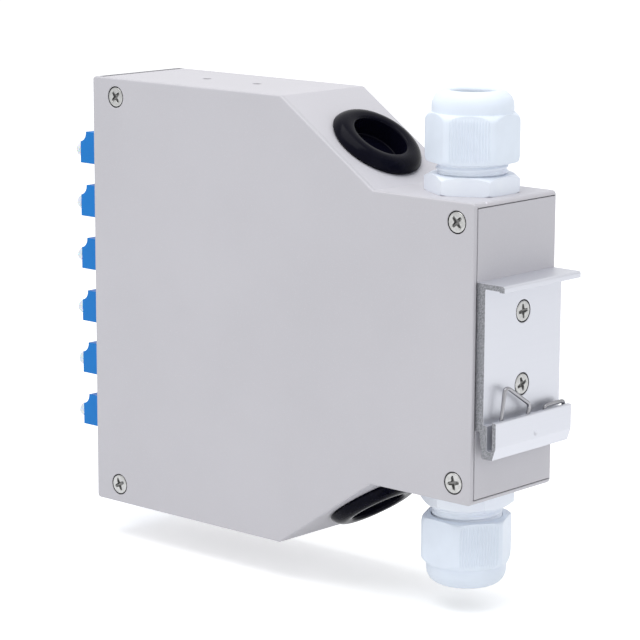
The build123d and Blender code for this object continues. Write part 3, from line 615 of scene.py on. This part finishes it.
def smooth_profile(corners, radii, steps=6):
    """A line through corners with each one rounded: between the two points that lie one
    tangent length before and after the corner runs a quadratic curve pulled to it."""
    corners = np.array(corners, float)
    line = [corners[:1]]
    t = np.linspace(0, 1, steps)[:, None]
    for i, radius in enumerate(radii, start=1):
        before, corner, after = corners[i - 1], corners[i], corners[i + 1]
        if radius <= 0:
            line.append(corner[None])
            continue
        back = before - corner
        ahead = after - corner
        start = corner + back * min(0.49, radius / np.linalg.norm(back))
        end = corner + ahead * min(0.49, radius / np.linalg.norm(ahead))
        line.append((1 - t) ** 2 * start + 2 * t * (1 - t) * corner + t ** 2 * end)
    line.append(corners[-1:])
    return np.vstack(line)


def revolved(profile, segments):
    """A profile of radius and height turned about Z: x = r cos a, y = r sin a, z = h."""
    angle = np.linspace(0, 2 * pi, segments, endpoint=False)
    radius = profile[:, 0:1]
    height = np.broadcast_to(profile[:, 1:2], (len(profile), segments))
    return np.stack([radius * np.cos(angle), radius * np.sin(angle), height], axis=-1)


def placed(points, matrix):
    """Points moved by a 4 by 4 matrix."""
    m = np.array(matrix)
    return points @ m[:3, :3].T + m[:3, 3]


def gland_matrix(side):
    """The gland's place: origin on the neck's wall, Z out of the case."""
    low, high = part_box(f"{side}_gland_gasket")
    centre = (low + high) / 2
    if side == "upper":
        return Matrix.Translation((centre.x, centre.y, low.z))
    return Matrix.Translation((centre.x, centre.y, high.z)) @ Matrix.Rotation(pi, 4, "X")


def dome_nut_points(pitch, height):
    """Dome nut as one closed surface over angle a and a profile. A row's radius is the
    profile's own where the row is turned, and the smaller of it and the hexagon where it
    isn't. The hexagon's radius is flat / cos(b), b being the angle from the nearest face's
    middle, with the corner eased; on every other face a cosine ribbing of v = flat tan(b)
    is added, fading at both ends of the grip."""
    flat, corner_r, ease = 11.1, 12.62, 0.07
    start, shoulder, crown, top = 7.9, 20.9, 22.9, 26.7
    bore_r, seat_r, grip_r, neck_r, crown_r = 9.6, 10.95, 12.45, 10.98, 10.8
    mouth_r, roll_r, throat_r = 6.8, 1.1, 5.7
    ribs = 15
    half_face = radians(30)
    edge = np.arctan(ribs * pitch / 2 / (flat * MM))
    rib_angles = np.arctan(np.linspace(-ribs / 2, ribs / 2, ribs * 8 + 1) * pitch / (flat * MM))
    corner_angles = np.linspace(edge, half_face, 6)[1:]
    ribbed = np.concatenate([-corner_angles[::-1], rib_angles, corner_angles[:-1]])
    plain = np.linspace(-half_face, half_face, 25)[:-1]
    angle = np.concatenate([
        np.concatenate([ribbed + radians(120) * i, plain + radians(120) * i + radians(60)])
        for i in range(3)
    ])
    sector = np.round(angle / radians(60))
    beside = angle - sector * radians(60)
    hexagon = flat / np.cos(beside)
    eased = corner_r - np.log1p(np.exp((corner_r - hexagon) / ease)) * ease
    across = flat * np.tan(beside)
    on_ribs = (sector % 2 == 0) & (np.abs(beside) <= edge)
    wave = np.where(on_ribs, 0.5 + 0.5 * np.cos(2 * pi * across * MM / pitch), 0.0)
    wave = wave * height / MM
    rows = [
        (bore_r, start, 0, 0), (10.7, start, 0, 0), (seat_r, start + 0.02, 1, 0),
    ]
    lower = smooth_profile(
        [(seat_r, start + 0.02), (12.2, start + 0.15), (grip_r, start + 1.3),
         (grip_r, start + 3.0)],
        [0.7, 0.5], 6,
    )
    rows += [(r, z, 1, min(1.0, max(0.0, (z - start - 0.5) / 1.0))) for r, z in lower[1:]]
    rows += [(grip_r, z, 1, 1) for z in np.linspace(start + 3.4, shoulder - 3.0, 5)]
    upper = smooth_profile(
        [(grip_r, shoulder - 2.6), (12.35, shoulder - 1.2), (11.25, shoulder - 0.10),
         (neck_r, shoulder)],
        [1.0, 0.8], 6,
    )
    rows += [(r, z, 1, min(1.0, max(0.0, (shoulder - 0.7 - z) / 0.9))) for r, z in upper]
    rise = smooth_profile(
        [(neck_r, shoulder), (crown_r, shoulder), (crown_r, crown - 0.6)], [0.35], 5
    )
    rows += [(r, z, 0, 0) for r, z in rise[1:]]
    arc = np.linspace(0, pi / 2, 11)
    dome_r = mouth_r + (crown_r - mouth_r) * np.cos(arc) ** 0.92
    dome_z = crown - 0.4 + (top - crown + 0.4) * np.sin(arc)
    rows += [(r, z, 0, 0) for r, z in zip(dome_r, dome_z)]
    roll = np.linspace(0.15, pi / 2, 6)
    rows += [(mouth_r - roll_r * sin(t), top - roll_r + roll_r * cos(t), 0, 0) for t in roll]
    rows += [(throat_r, 23.6, 0, 0), (throat_r, 22.1, 0, 0), (bore_r, 18.5, 0, 0)]
    inner = np.arange(18.0, start + 0.4, -0.375)
    rows += [(bore_r, z, 0, 0) for z in inner]
    table = np.array(rows, float)
    limit = table[:, 0:1]
    hexed = np.minimum(eased + wave * table[:, 3:4], limit)
    radius = np.where(table[:, 2:3] > 0.5, hexed, limit)
    z = np.broadcast_to(table[:, 1:2], radius.shape)
    return np.stack([radius * np.cos(angle), radius * np.sin(angle), z], axis=-1) * MM


def thread_points(pitch, low, high, root, crest):
    """A screw thread over angle a and height z: radius = root + (crest - root) * f, where f
    is a flattened triangle wave of z / pitch - a / 2 pi, fading out at both ends."""
    angle = np.linspace(0, 2 * pi, 120, endpoint=False)
    z = np.linspace(low, high, int((high - low) / pitch * 14))[:, None]
    phase = (z / pitch - angle / (2 * pi)) % 1.0
    wave = np.clip(1.35 - 2.7 * np.abs(phase - 0.5) * 1.1, 0, 1)
    fade = np.clip(np.minimum(z - low, high - z) / (0.25 * pitch), 0, 1)
    radius = root + (crest - root) * wave * fade
    z = np.broadcast_to(z, radius.shape)
    outer = np.stack([radius * np.cos(angle), radius * np.sin(angle), z], axis=-1)
    inner = outer[::-1].copy()
    inner[..., :2] *= ((root - 0.25 * MM) / radius[::-1])[..., None]
    return np.concatenate([outer, inner])


def arc_through(first, middle, last, steps):
    """Points along the circle through three points. Its centre is where the two chords'
    middle lines cross."""
    a, b, c = (np.array(p, float) for p in (first, middle, last))
    chords = np.array([b - a, c - b])
    centre = np.linalg.solve(chords, np.sum(chords * np.array([(a + b) / 2, (b + c) / 2]), axis=1))
    start, end = (np.arctan2(*(p - centre)[::-1]) for p in (a, c))
    angle = np.linspace(start, end, steps)
    radius = np.hypot(*(a - centre))
    return centre + radius * np.column_stack([np.cos(angle), np.sin(angle)])


def grommet_points():
    """Blind grommet as one turned surface: web, mouth wall, a quarter round up to the
    bead's crest, the bead falling to its skirt as one arc, the groove and the back."""
    mouth_r, lip_r, rise, outer_r, skirt = 7.7, 0.9, 3.3, 13.2, 0.7
    web, web_back, floor = -2.6, -3.5, -4.0
    crest = (mouth_r + lip_r, rise)
    mouth = smooth_profile([(0.4, web), (mouth_r, web), (mouth_r, rise - lip_r)], [0.5], 5)
    turn = np.linspace(pi, pi / 2, 9)[1:]
    lip = np.column_stack([crest[0] + lip_r * np.cos(turn), rise - lip_r + lip_r * np.sin(turn)])
    belly = ((crest[0] + outer_r) / 2 + 0.7, (rise + skirt) / 2 + 0.75)
    bead = arc_through(crest, belly, (outer_r, skirt), 18)[1:-1]
    outside = smooth_profile(
        [(outer_r, skirt), (outer_r - 0.4, 0.02), (11.05, 0.02), (11.05, -1.22), (12.65, -1.22),
         (12.2, floor + 0.8), (11.1, floor + 0.03), (8.3, floor + 0.03), (mouth_r, web_back),
         (0.4, web_back)],
        [0.05, 0.05, 0.05, 0.15, 0.3, 0.3, 0.3, 0.1], 5,
    )
    return np.vstack([mouth, lip, bead, outside]) * MM


def slope_matrix(side):
    """The grommet's place on its slope: origin on the outer face, Z out of the case."""
    centre = middle(f"{side}_grommet")
    up = 1 if side == "upper" else -1
    slope = np.arctan2(NECK_DROP, SLOPE_RUN)
    along = GROMMET_ALONG * MM
    x = (FRONT_X + SLOPE_START) * MM + along * cos(slope)
    z = (ROOF_Z if up > 0 else UNDERSIDE_Z) * MM - up * along * sin(slope)
    turn = slope if up > 0 else pi - slope
    return Matrix.Translation((x, centre.y, z)) @ Matrix.Rotation(turn, 4, "Y")


def disc_points(radius, steps):
    """A square grid pressed into a disc: x = r u sqrt(1 - v v / 2), y = r v sqrt(1 - u u / 2)."""
    u, v = np.meshgrid(np.linspace(-1, 1, steps), np.linspace(-1, 1, steps), indexing="ij")
    return radius * u * np.sqrt(1 - v * v / 2), radius * v * np.sqrt(1 - u * u / 2)


def screw_head_points(turn, steps=61):
    """Countersunk head's face: a faint dome, a rounded rim, and a cross recess whose depth
    is a smooth step across each wing, tapered towards its end, plus a round middle. Also
    gives that depth, from 0 on the face to 1 in the middle."""
    x, y = disc_points(HEAD_RADIUS, steps)
    r = np.hypot(x, y)
    c, s = cos(turn), sin(turn)
    u, v = x * c + y * s, y * c - x * s
    wings = np.zeros_like(x)
    for a, b in ((u, v), (v, u)):
        width = 0.58 - 0.12 * np.abs(a)
        across = np.clip((width - np.abs(b)) / 0.14, 0, 1)
        along = np.clip((1.95 - np.abs(a)) / 0.4, 0, 1)
        wings = np.maximum(wings, across * along)
    core = np.clip((0.85 - r) / 0.3, 0, 1)
    depth = np.maximum(wings * (1.0 - 0.25 * np.clip(r, 0, 1.7)), core)
    z = -0.02 * (r / HEAD_RADIUS) ** 2 - 0.95 * depth
    z -= 0.20 * np.clip((r - HEAD_RADIUS + 0.3) / 0.3, 0, 1) ** 2
    return np.stack([x, y, z], axis=-1) * MM, depth


def screw_shape(shape, matrix, length, turn):
    """Adds a countersunk screw: its face with the recess painted darker as shade, a near-black
    ring painted as the shadow in the gap round it, its cone and a threaded shank."""
    points, depth = screw_head_points(turn)
    corners = np.stack([depth[:-1, :-1], depth[1:, :-1], depth[1:, 1:], depth[:-1, 1:]])
    # Faces inside the cross recess get the darker finish: painted shade.
    shaded_recess = (corners.mean(axis=0) > 0.12).astype(int).ravel()
    shape.grid(placed(points, matrix), close_columns=False, flip=True, finish=shaded_recess)
    # A thin near-black ring in the gap between head and countersink: painted shadow.
    rim = HEAD_RADIUS - 0.02
    gap_shade = np.array([(rim, -0.24), (SINK_RADIUS, -0.10), (SINK_RADIUS, -0.30), (rim, -0.34)])
    shape.grid(placed(revolved(gap_shade * MM, 48), matrix), close_rows=True, finish=2)
    shank_r, pitch, cut, start = 1.5, 0.5, 0.16, 1.7
    z = np.linspace(-start, -length, int((length - start) / pitch * 6))
    ridge = shank_r - cut * (0.5 + 0.5 * np.cos(2 * pi * z / pitch))
    cone = [(HEAD_RADIUS, -0.22), (shank_r, -1.6)]
    side = np.vstack([cone, np.column_stack([ridge, z]), [(0.9, -length)]])
    shape.grid(placed(revolved(side * MM, 40), matrix), caps=(-1,), flip=True)


def wire_route():
    """The wire spring's corners in Y and Z, in millimetres: leg, crest, knee, run on the
    pocket's floor and staple."""
    top = -17.0
    pocket = height = 7.8
    floor = top - pocket + 0.57
    crest = top + height
    lean = 1.3 / height
    staple = top + 0.65
    leg, knee, back, rise, end = -11.2, 0.7, -0.2, 7.2, 15.4
    return [
        (leg - lean * 4.0, top - 4.0), (leg + 1.3, crest), (leg + 2.8, crest), (knee, crest - 5.7),
        (back, top - 1.0), (back, floor), (rise, floor), (rise, staple), (end, staple),
        (end, top - 4.0),
    ]


def wire_points(radius):
    """A round wire along a rounded line in the plane of Y and Z: each ring is
    centre + radius * (cos a * X + sin a * N), N being the line's normal in the plane."""
    route = np.array(wire_route()) * MM
    line = smooth_profile(route, np.array([0.9, 0.9, 1.3, 1.0, 1.2, 1.2, 1.0, 1.0]) * MM, 9)
    step = np.gradient(line, axis=0)
    step /= np.linalg.norm(step, axis=1)[:, None]
    angle = np.linspace(0, 2 * pi, 20, endpoint=False)
    ends = np.ones(len(line))
    ends[[0, -1]] = 0.75
    out = radius * ends[:, None] * np.cos(angle)
    side = radius * ends[:, None] * np.sin(angle)
    x = WIRE_X * MM + out
    y = line[:, 0:1] - step[:, 1:2] * side
    z = line[:, 1:2] + step[:, 0:1] * side
    return np.stack([x, y, z], axis=-1)


def rounded_box_points(low, high, radius, steps=7):
    """A box with rounded edges over two angles: corner centres plus radius times the unit
    sphere, the angles bunched so that all of a corner's points share one octant."""
    low, high = np.array(low, float), np.array(high, float)
    quarter = np.linspace(0, pi / 2, steps)
    around = np.concatenate([quarter + pi / 2 * i for i in range(4)])
    up = np.concatenate([quarter - pi / 2, quarter])
    a, e = np.meshgrid(around, up, indexing="xy")
    unit = np.stack([np.cos(e) * np.cos(a), np.cos(e) * np.sin(a), np.sin(e)], axis=-1)
    sign_x = np.where(np.isin(np.arange(4 * steps) // steps, (0, 3)), 1, -1)
    sign_y = np.where(np.arange(4 * steps) // steps < 2, 1, -1)
    sign_z = np.where(np.arange(2 * steps) // steps < 1, -1, 1)
    sign = np.stack(np.broadcast_arrays(sign_x[None, :], sign_y[None, :], sign_z[:, None]), axis=-1)
    centre = (low + high) / 2 + sign * ((high - low) / 2 - radius)
    return centre + radius * unit


def cap_shape(index):
    """A duplex dust cap: two square plugs, two domed round heads and a web."""
    low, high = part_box(f"dust_cap_{index}")
    low, high = np.array(low), np.array(high)
    mouth = high[0] - PLUG_LENGTH * MM
    level = (low[2] + high[2]) / 2
    shape = Shape()
    head = smooth_profile(
        [(2.02, 0.0), (2.1, 0.15), (2.1, 2.2), (1.85, 3.55), (0.35, 3.74)], [0.08, 0.9, 1.0], 8
    ) * MM
    for side in (-1, 1):
        y = side * CAP_PITCH_HALF * MM
        place = Matrix.Translation((mouth - 0.15 * MM, y, level)) @ Matrix.Rotation(-pi / 2, 4, "Y")
        shape.grid(placed(revolved(head, 40), place), caps=(0, -1))
        half = 2.25 * MM
        shape.grid(rounded_box_points((mouth - 0.12 * MM, y - half, level - half),
                                      (mouth + PLUG_LENGTH * MM, y + half, level + half), 0.35 * MM),
                   caps=(0, -1))
    shape.grid(rounded_box_points((mouth - 1.5 * MM, -3.1 * MM, level - 1.26 * MM),
                                  (mouth - 0.2 * MM, 3.1 * MM, level + 1.26 * MM), 0.3 * MM),
               caps=(0, -1))
    return shape


def finish_node(node, material):
    """Gives a packed node's mesh its finish."""
    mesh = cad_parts[node].data
    mesh.materials.clear()
    mesh.materials.append(material)


def settings(context, name):
    """One of the scene's setting groups."""
    return getattr(context.scene, name)


# Operators


class FIBREBOX_OT_effects(bpy.types.Operator):
    """Build the node groups that the finishes share"""

    bl_idname = "fibrebox.effects"
    bl_label = "Shared effects"

    def execute(self, context):
        build_powder_grain()
        build_soft_edge()
        build_mould_skin()
        build_drawn_lines()
        build_saw_cut()
        return {"FINISHED"}


class FIBREBOX_OT_case(bpy.types.Operator):
    """Paint the case and its cover"""

    bl_idname = "fibrebox.case"
    bl_label = "Case and cover"

    def execute(self, context):
        case = settings(context, "fibre_case")
        paint = tuple(case.paint)
        low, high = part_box("enclosure_base")
        chip = (high.x, low.y + 4.0 * MM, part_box("upper_gland_gasket")[0].z)
        base = powder_coat("base_paint", paint, case.grain, case.edge_radius, chip)
        finish_node("enclosure_base", base)
        finish_node("side_cover", powder_coat("cover_paint", shade(paint, 0.985), case.grain, 0.0003))
        return {"FINISHED"}


class FIBREBOX_OT_glands(bpy.types.Operator):
    """Build the dome nuts and threads, and finish the glands"""

    bl_idname = "fibrebox.glands"
    bl_label = "Cable glands"

    def execute(self, context):
        gland = settings(context, "fibre_gland")
        white = moulded_plastic("gland_polyamide", tuple(gland.colour), 0.40, 0.0003, 0.000006, 0.3)
        # Bodies, threads and locknuts get the nuts' polyamide painted paler: painted light where the dome
        # nuts shade them.
        lit_body_plastic = moulded_plastic("gland_body_polyamide", tuple(gland.body), 0.40, 0.0003, 0.000006)
        black = rubber("seal_rubber", (0.02, 0.02, 0.021), 0.6)
        nut = dome_nut_points(gland.rib_pitch, gland.rib_height)
        sizes = [size * MM for size in (*THREAD_SPAN, THREAD_ROOT, THREAD_CREST)]
        thread = thread_points(gland.thread_pitch, *sizes)
        for side, turn in NUT_TURNS.items():
            place = gland_matrix(side)
            turned = place @ Matrix.Rotation(turn, 4, "Z")
            Shape().grid(placed(nut, turned), close_rows=True, flip=True).build(
                f"{side}_dome_nut", f"{side}_nut", "gland_plastic", [white],
                (f"{side}_gland_nut",), 38.0,
            )
            Shape().grid(placed(thread, place), close_rows=True, flip=True).build(
                f"{side}_gland_thread", "case", "gland_plastic", [lit_body_plastic], (), 50.0,
            )
            for part in ("body", "locknut"):
                finish_node(f"{side}_gland_{part}", lit_body_plastic)
            for part in ("seal", "gasket"):
                finish_node(f"{side}_gland_{part}", black)
        return {"FINISHED"}


class FIBREBOX_OT_grommets(bpy.types.Operator):
    """Build the two blind rubber grommets"""

    bl_idname = "fibrebox.grommets"
    bl_label = "Grommets"

    def execute(self, context):
        colour = tuple(settings(context, "fibre_plastic").rubber)
        material = rubber("grommet_rubber", colour, 0.22, 0.05)
        points = revolved(grommet_points(), 160)
        for side in ("upper", "lower"):
            Shape().grid(placed(points, slope_matrix(side)), caps=(0, -1)).build(
                f"{side}_grommet_rubber", "case", "grommet_rubber", [material],
                (f"{side}_grommet",), 45.0,
            )
        return {"FINISHED"}


class FIBREBOX_OT_adapters(bpy.types.Operator):
    """Build the dust caps and finish the fibre adapters"""

    bl_idname = "fibrebox.adapters"
    bl_label = "Adapters and caps"

    def execute(self, context):
        plastic = settings(context, "fibre_plastic")
        blue = moulded_plastic("adapter_plastic", tuple(plastic.adapter), 0.40, 0.00022, 0.000006, 0.14)
        milky = milky_cap("cap_plastic", tuple(plastic.cap))
        for i in range(1, 7):
            finish_node(f"adapter_{i}", blue)
            cap_shape(i).build(
                f"dust_cap_{i}_soft", f"dust_cap_{i}", "cap_plastic", [milky], (f"dust_cap_{i}",), 40.0
            )
        finish_node("alignment_sleeves", moulded_plastic("sleeve_ceramic", (0.82, 0.82, 0.79), 0.18, 0.0001))
        finish_node("adapter_clips", drawn_metal("clip_steel", (0.60, 0.60, 0.61), 0.28, (0.02, 1.0, 1.0)))
        return {"FINISHED"}


class FIBREBOX_OT_rail_clip(bpy.types.Operator):
    """Build the wire spring and finish the rail clip"""

    bl_idname = "fibrebox.rail_clip"
    bl_label = "Rail clip"

    def execute(self, context):
        metal = settings(context, "fibre_metal")
        finish_node("rail_clip", extruded_aluminium("clip_aluminium", tuple(metal.aluminium)))
        bright = drawn_metal("spring_wire", (0.34, 0.34, 0.36), 0.12, (1.0, 0.05, 0.05), 4000.0, 0.000004)
        Shape().grid(wire_points(metal.wire_radius), caps=(0, -1)).build(
            "rail_wire", "case", "spring_wire", [bright], ("rail_spring",), 50.0,
        )
        return {"FINISHED"}


class FIBREBOX_OT_screws(bpy.types.Operator):
    """Build the countersunk screws and finish the other fasteners"""

    bl_idname = "fibrebox.screws"
    bl_label = "Screws"

    def execute(self, context):
        plating = tuple(settings(context, "fibre_metal").plating)
        material = drawn_metal("screw_plating", plating, 0.26, (1.0, 1.0, 1.0), 900.0, 0.000004, 0.00012)
        # The recess finish is the plating painted darker: painted shade.
        shaded_recess = drawn_metal("screw_recess", shade(plating, 0.48), 0.42, (1.0, 1.0, 1.0), 900.0)
        # Near-black finish of the ring in the gap: painted shadow.
        gap_shade = rubber("screw_gap", (0.015, 0.015, 0.016), 0.8, 0.05)
        finishes = [material, shaded_recess, gap_shade]
        low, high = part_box("cover_screws")
        face = low.y
        inset = SINK_RADIUS * MM
        drop = NECK_DROP * MM
        corners = (
            (low.x + inset, low.z + inset, 0.45), (low.x + inset, high.z - inset, 0.7),
            (high.x - inset, low.z + inset + drop, 0.2), (high.x - inset, high.z - inset - drop, 0.75),
        )
        cover = Shape()
        for x, z, turn in corners:
            place = Matrix.Translation((x, face, z)) @ Matrix.Rotation(pi / 2, 4, "X")
            screw_shape(cover, place, SCREW_LENGTH, turn)
        cover.build("cover_screws_detailed", "case", "screw_steel", finishes, ("cover_screws",), 35.0)
        low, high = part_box("clip_screws")
        clip = Shape()
        for z, turn in ((low.z + inset, 0.35), (high.z - inset, 0.1)):
            place = Matrix.Translation((high.x, 0, z)) @ Matrix.Rotation(pi / 2, 4, "Y")
            screw_shape(clip, place, SCREW_LENGTH, turn)
        clip.build("clip_screws_detailed", "case", "screw_steel", finishes, ("clip_screws",), 35.0)
        zinc = drawn_metal("block_steel", (0.52, 0.52, 0.53), 0.36, (1.0, 1.0, 0.05), 1500.0)
        for node in ("cover_blocks", "tray_posts", "clip_nuts"):
            finish_node(node, zinc)
        for node in ("tray_screws", "anchor_screw"):
            finish_node(node, material)
        return {"FINISHED"}


class FIBREBOX_OT_inside(bpy.types.Operator):
    """Finish the splice tray and the other pieces inside"""

    bl_idname = "fibrebox.inside"
    bl_label = "Inside"

    def execute(self, context):
        finish_node("splice_tray", moulded_plastic("tray_plastic", (0.72, 0.72, 0.70), 0.42, 0.0003))
        finish_node("tray_lid", clear_sheet("lid_sheet", (0.93, 0.96, 0.98)))
        finish_node("splice_comb", rubber("comb_rubber", (0.62, 0.62, 0.60), 0.6))
        finish_node("anchor_post", drawn_metal("anchor_brass", (0.62, 0.43, 0.16), 0.28, (1.0, 0.03, 1.0)))
        return {"FINISHED"}


class FIBREBOX_OT_stage(bpy.types.Operator):
    """Set the floor, the lamps and the camera"""

    bl_idname = "fibrebox.stage"
    bl_label = "Stage"

    def execute(self, context):
        stage = settings(context, "fibre_stage")
        scene = context.scene
        scene.view_settings.view_transform = "Standard"
        self.floor(context, CAD_BOX[0].z - FLOOR_GAP)
        self.world(scene, stage.ambient)
        self.lamp(context, "key_lamp", stage.key, (-0.08, -0.22, 1.02), 0.9)
        self.lamp(context, "rail_lamp", stage.fill, (0.95, -0.20, 0.30), 0.7)
        camera = bpy.data.cameras.new("camera")
        camera.lens = stage.lens
        camera.sensor_width = 36
        camera.clip_start = 0.01
        seat = bpy.data.objects.new("camera", camera)
        context.collection.objects.link(seat)
        a, e = stage.azimuth, stage.elevation
        back = Vector((sin(a) * cos(e), -cos(a) * cos(e), sin(e)))
        aim = (-back).to_track_quat("-Z", "Y").to_matrix().to_4x4()
        roll = Matrix.Rotation(stage.roll, 4, "Z")
        seat.matrix_world = Matrix.Translation(Vector(stage.target) + back * stage.distance) @ aim @ roll
        scene.camera = seat
        return {"FINISHED"}

    def floor(self, context, level):
        """Wide pale floor under the lowest point, white where the camera or a gloss sees
        it lit, and grey in shadow."""
        side = 6.0
        points = np.array([(-side, -side, level), (side, -side, level), (side, side, level),
                           (-side, side, level)])
        mesh = bpy.data.meshes.new("floor")
        mesh.from_pydata(points, [], [(0, 1, 2, 3)])
        floor = bpy.data.objects.new("floor", mesh)
        context.collection.objects.link(floor)
        material, tree, surface = start_material("floor_paper")
        grain = noise(tree, object_place(tree), 300.0, 2.0)
        feed(
            tree, surface,
            base_color=blend_colour(tree, grain, (0.90, 0.90, 0.90), (0.94, 0.94, 0.94)),
            roughness=0.9,
            specular_ior_level=0.0,
        )
        path = add(tree, "ShaderNodeLightPath")
        seen = maths(tree, "MAXIMUM", path.outputs["Is Camera Ray"], path.outputs["Is Glossy Ray"])
        seen = maths(tree, "MAXIMUM", seen, path.outputs["Is Transmission Ray"])
        glow = add(tree, "ShaderNodeEmission")
        feed(tree, glow, color=(1.0, 1.0, 1.0, 1.0), strength=maths(tree, "MULTIPLY", seen, 0.42))
        total = add(tree, "ShaderNodeAddShader")
        tree.links.new(surface.outputs[0], total.inputs[0])
        tree.links.new(glow.outputs[0], total.inputs[1])
        tree.links.new(total.outputs[0], tree.nodes["Material Output"].inputs["Surface"])
        mesh.materials.append(material)

    def world(self, scene, strength):
        """Even light from all round; the camera and glosses see plain white."""
        world = bpy.data.worlds.new("studio")
        scene.world = world
        world.use_nodes = True
        tree = world.node_tree
        tree.nodes.clear()
        path = add(tree, "ShaderNodeLightPath")
        seen = maths(tree, "MAXIMUM", path.outputs["Is Camera Ray"], path.outputs["Is Glossy Ray"])
        seen = maths(tree, "MAXIMUM", seen, path.outputs["Is Transmission Ray"])
        light = add(tree, "ShaderNodeBackground")
        feed(tree, light, color=(0.96, 0.98, 1.0, 1.0), strength=strength)
        white = add(tree, "ShaderNodeBackground")
        feed(tree, white, color=(1.0, 1.0, 1.0, 1.0), strength=1.0)
        mix = add(tree, "ShaderNodeMixShader")
        tree.links.new(seen, mix.inputs[0])
        tree.links.new(light.outputs[0], mix.inputs[1])
        tree.links.new(white.outputs[0], mix.inputs[2])
        tree.links.new(mix.outputs[0], add(tree, "ShaderNodeOutputWorld").inputs["Surface"])

    def lamp(self, context, name, power, place, size):
        """A square area lamp that looks at the box."""
        light = bpy.data.lights.new(name, "AREA")
        light.energy = power
        light.size = size
        lamp = bpy.data.objects.new(name, light)
        context.collection.objects.link(lamp)
        target = Vector(LAMP_TARGET)
        lamp.location = place
        lamp.rotation_mode = "QUATERNION"
        lamp.rotation_quaternion = (target - Vector(place)).to_track_quat("-Z", "Y")


OPERATORS = (
    FIBREBOX_OT_effects, FIBREBOX_OT_case, FIBREBOX_OT_glands, FIBREBOX_OT_grommets,
    FIBREBOX_OT_adapters, FIBREBOX_OT_rail_clip, FIBREBOX_OT_screws, FIBREBOX_OT_inside,
    FIBREBOX_OT_stage,
)


class FIBREBOX_PT_panel(bpy.types.Panel):
    """Lists the settings and the steps"""

    bl_idname = "FIBREBOX_PT_panel"
    bl_label = "Fibre box"
    bl_space_type = "VIEW_3D"
    bl_region_type = "UI"
    bl_category = "Fibre box"

    def draw(self, context):
        for name, group in SETTINGS.items():
            box = self.layout.box()
            box.label(text=group.__doc__.strip())
            for prop in group.__annotations__:
                box.prop(getattr(context.scene, name), prop)
        for operator in OPERATORS:
            self.layout.operator(operator.bl_idname)


CLASSES = (*SETTINGS.values(), *OPERATORS, FIBREBOX_PT_panel)


def register():
    for cls in CLASSES:
        bpy.utils.register_class(cls)
    for name, group in SETTINGS.items():
        setattr(bpy.types.Scene, name, PointerProperty(type=group))


def unregister():
    for name in SETTINGS:
        delattr(bpy.types.Scene, name)
    for cls in reversed(CLASSES):
        bpy.utils.unregister_class(cls)


def main():
    """Registers the classes and runs each step."""
    register()
    bpy.ops.fibrebox.effects()
    bpy.ops.fibrebox.case()
    bpy.ops.fibrebox.glands()
    bpy.ops.fibrebox.grommets()
    bpy.ops.fibrebox.adapters()
    bpy.ops.fibrebox.rail_clip()
    bpy.ops.fibrebox.screws()
    bpy.ops.fibrebox.inside()
    bpy.ops.fibrebox.stage()


if __name__ == "__main__":
    main()
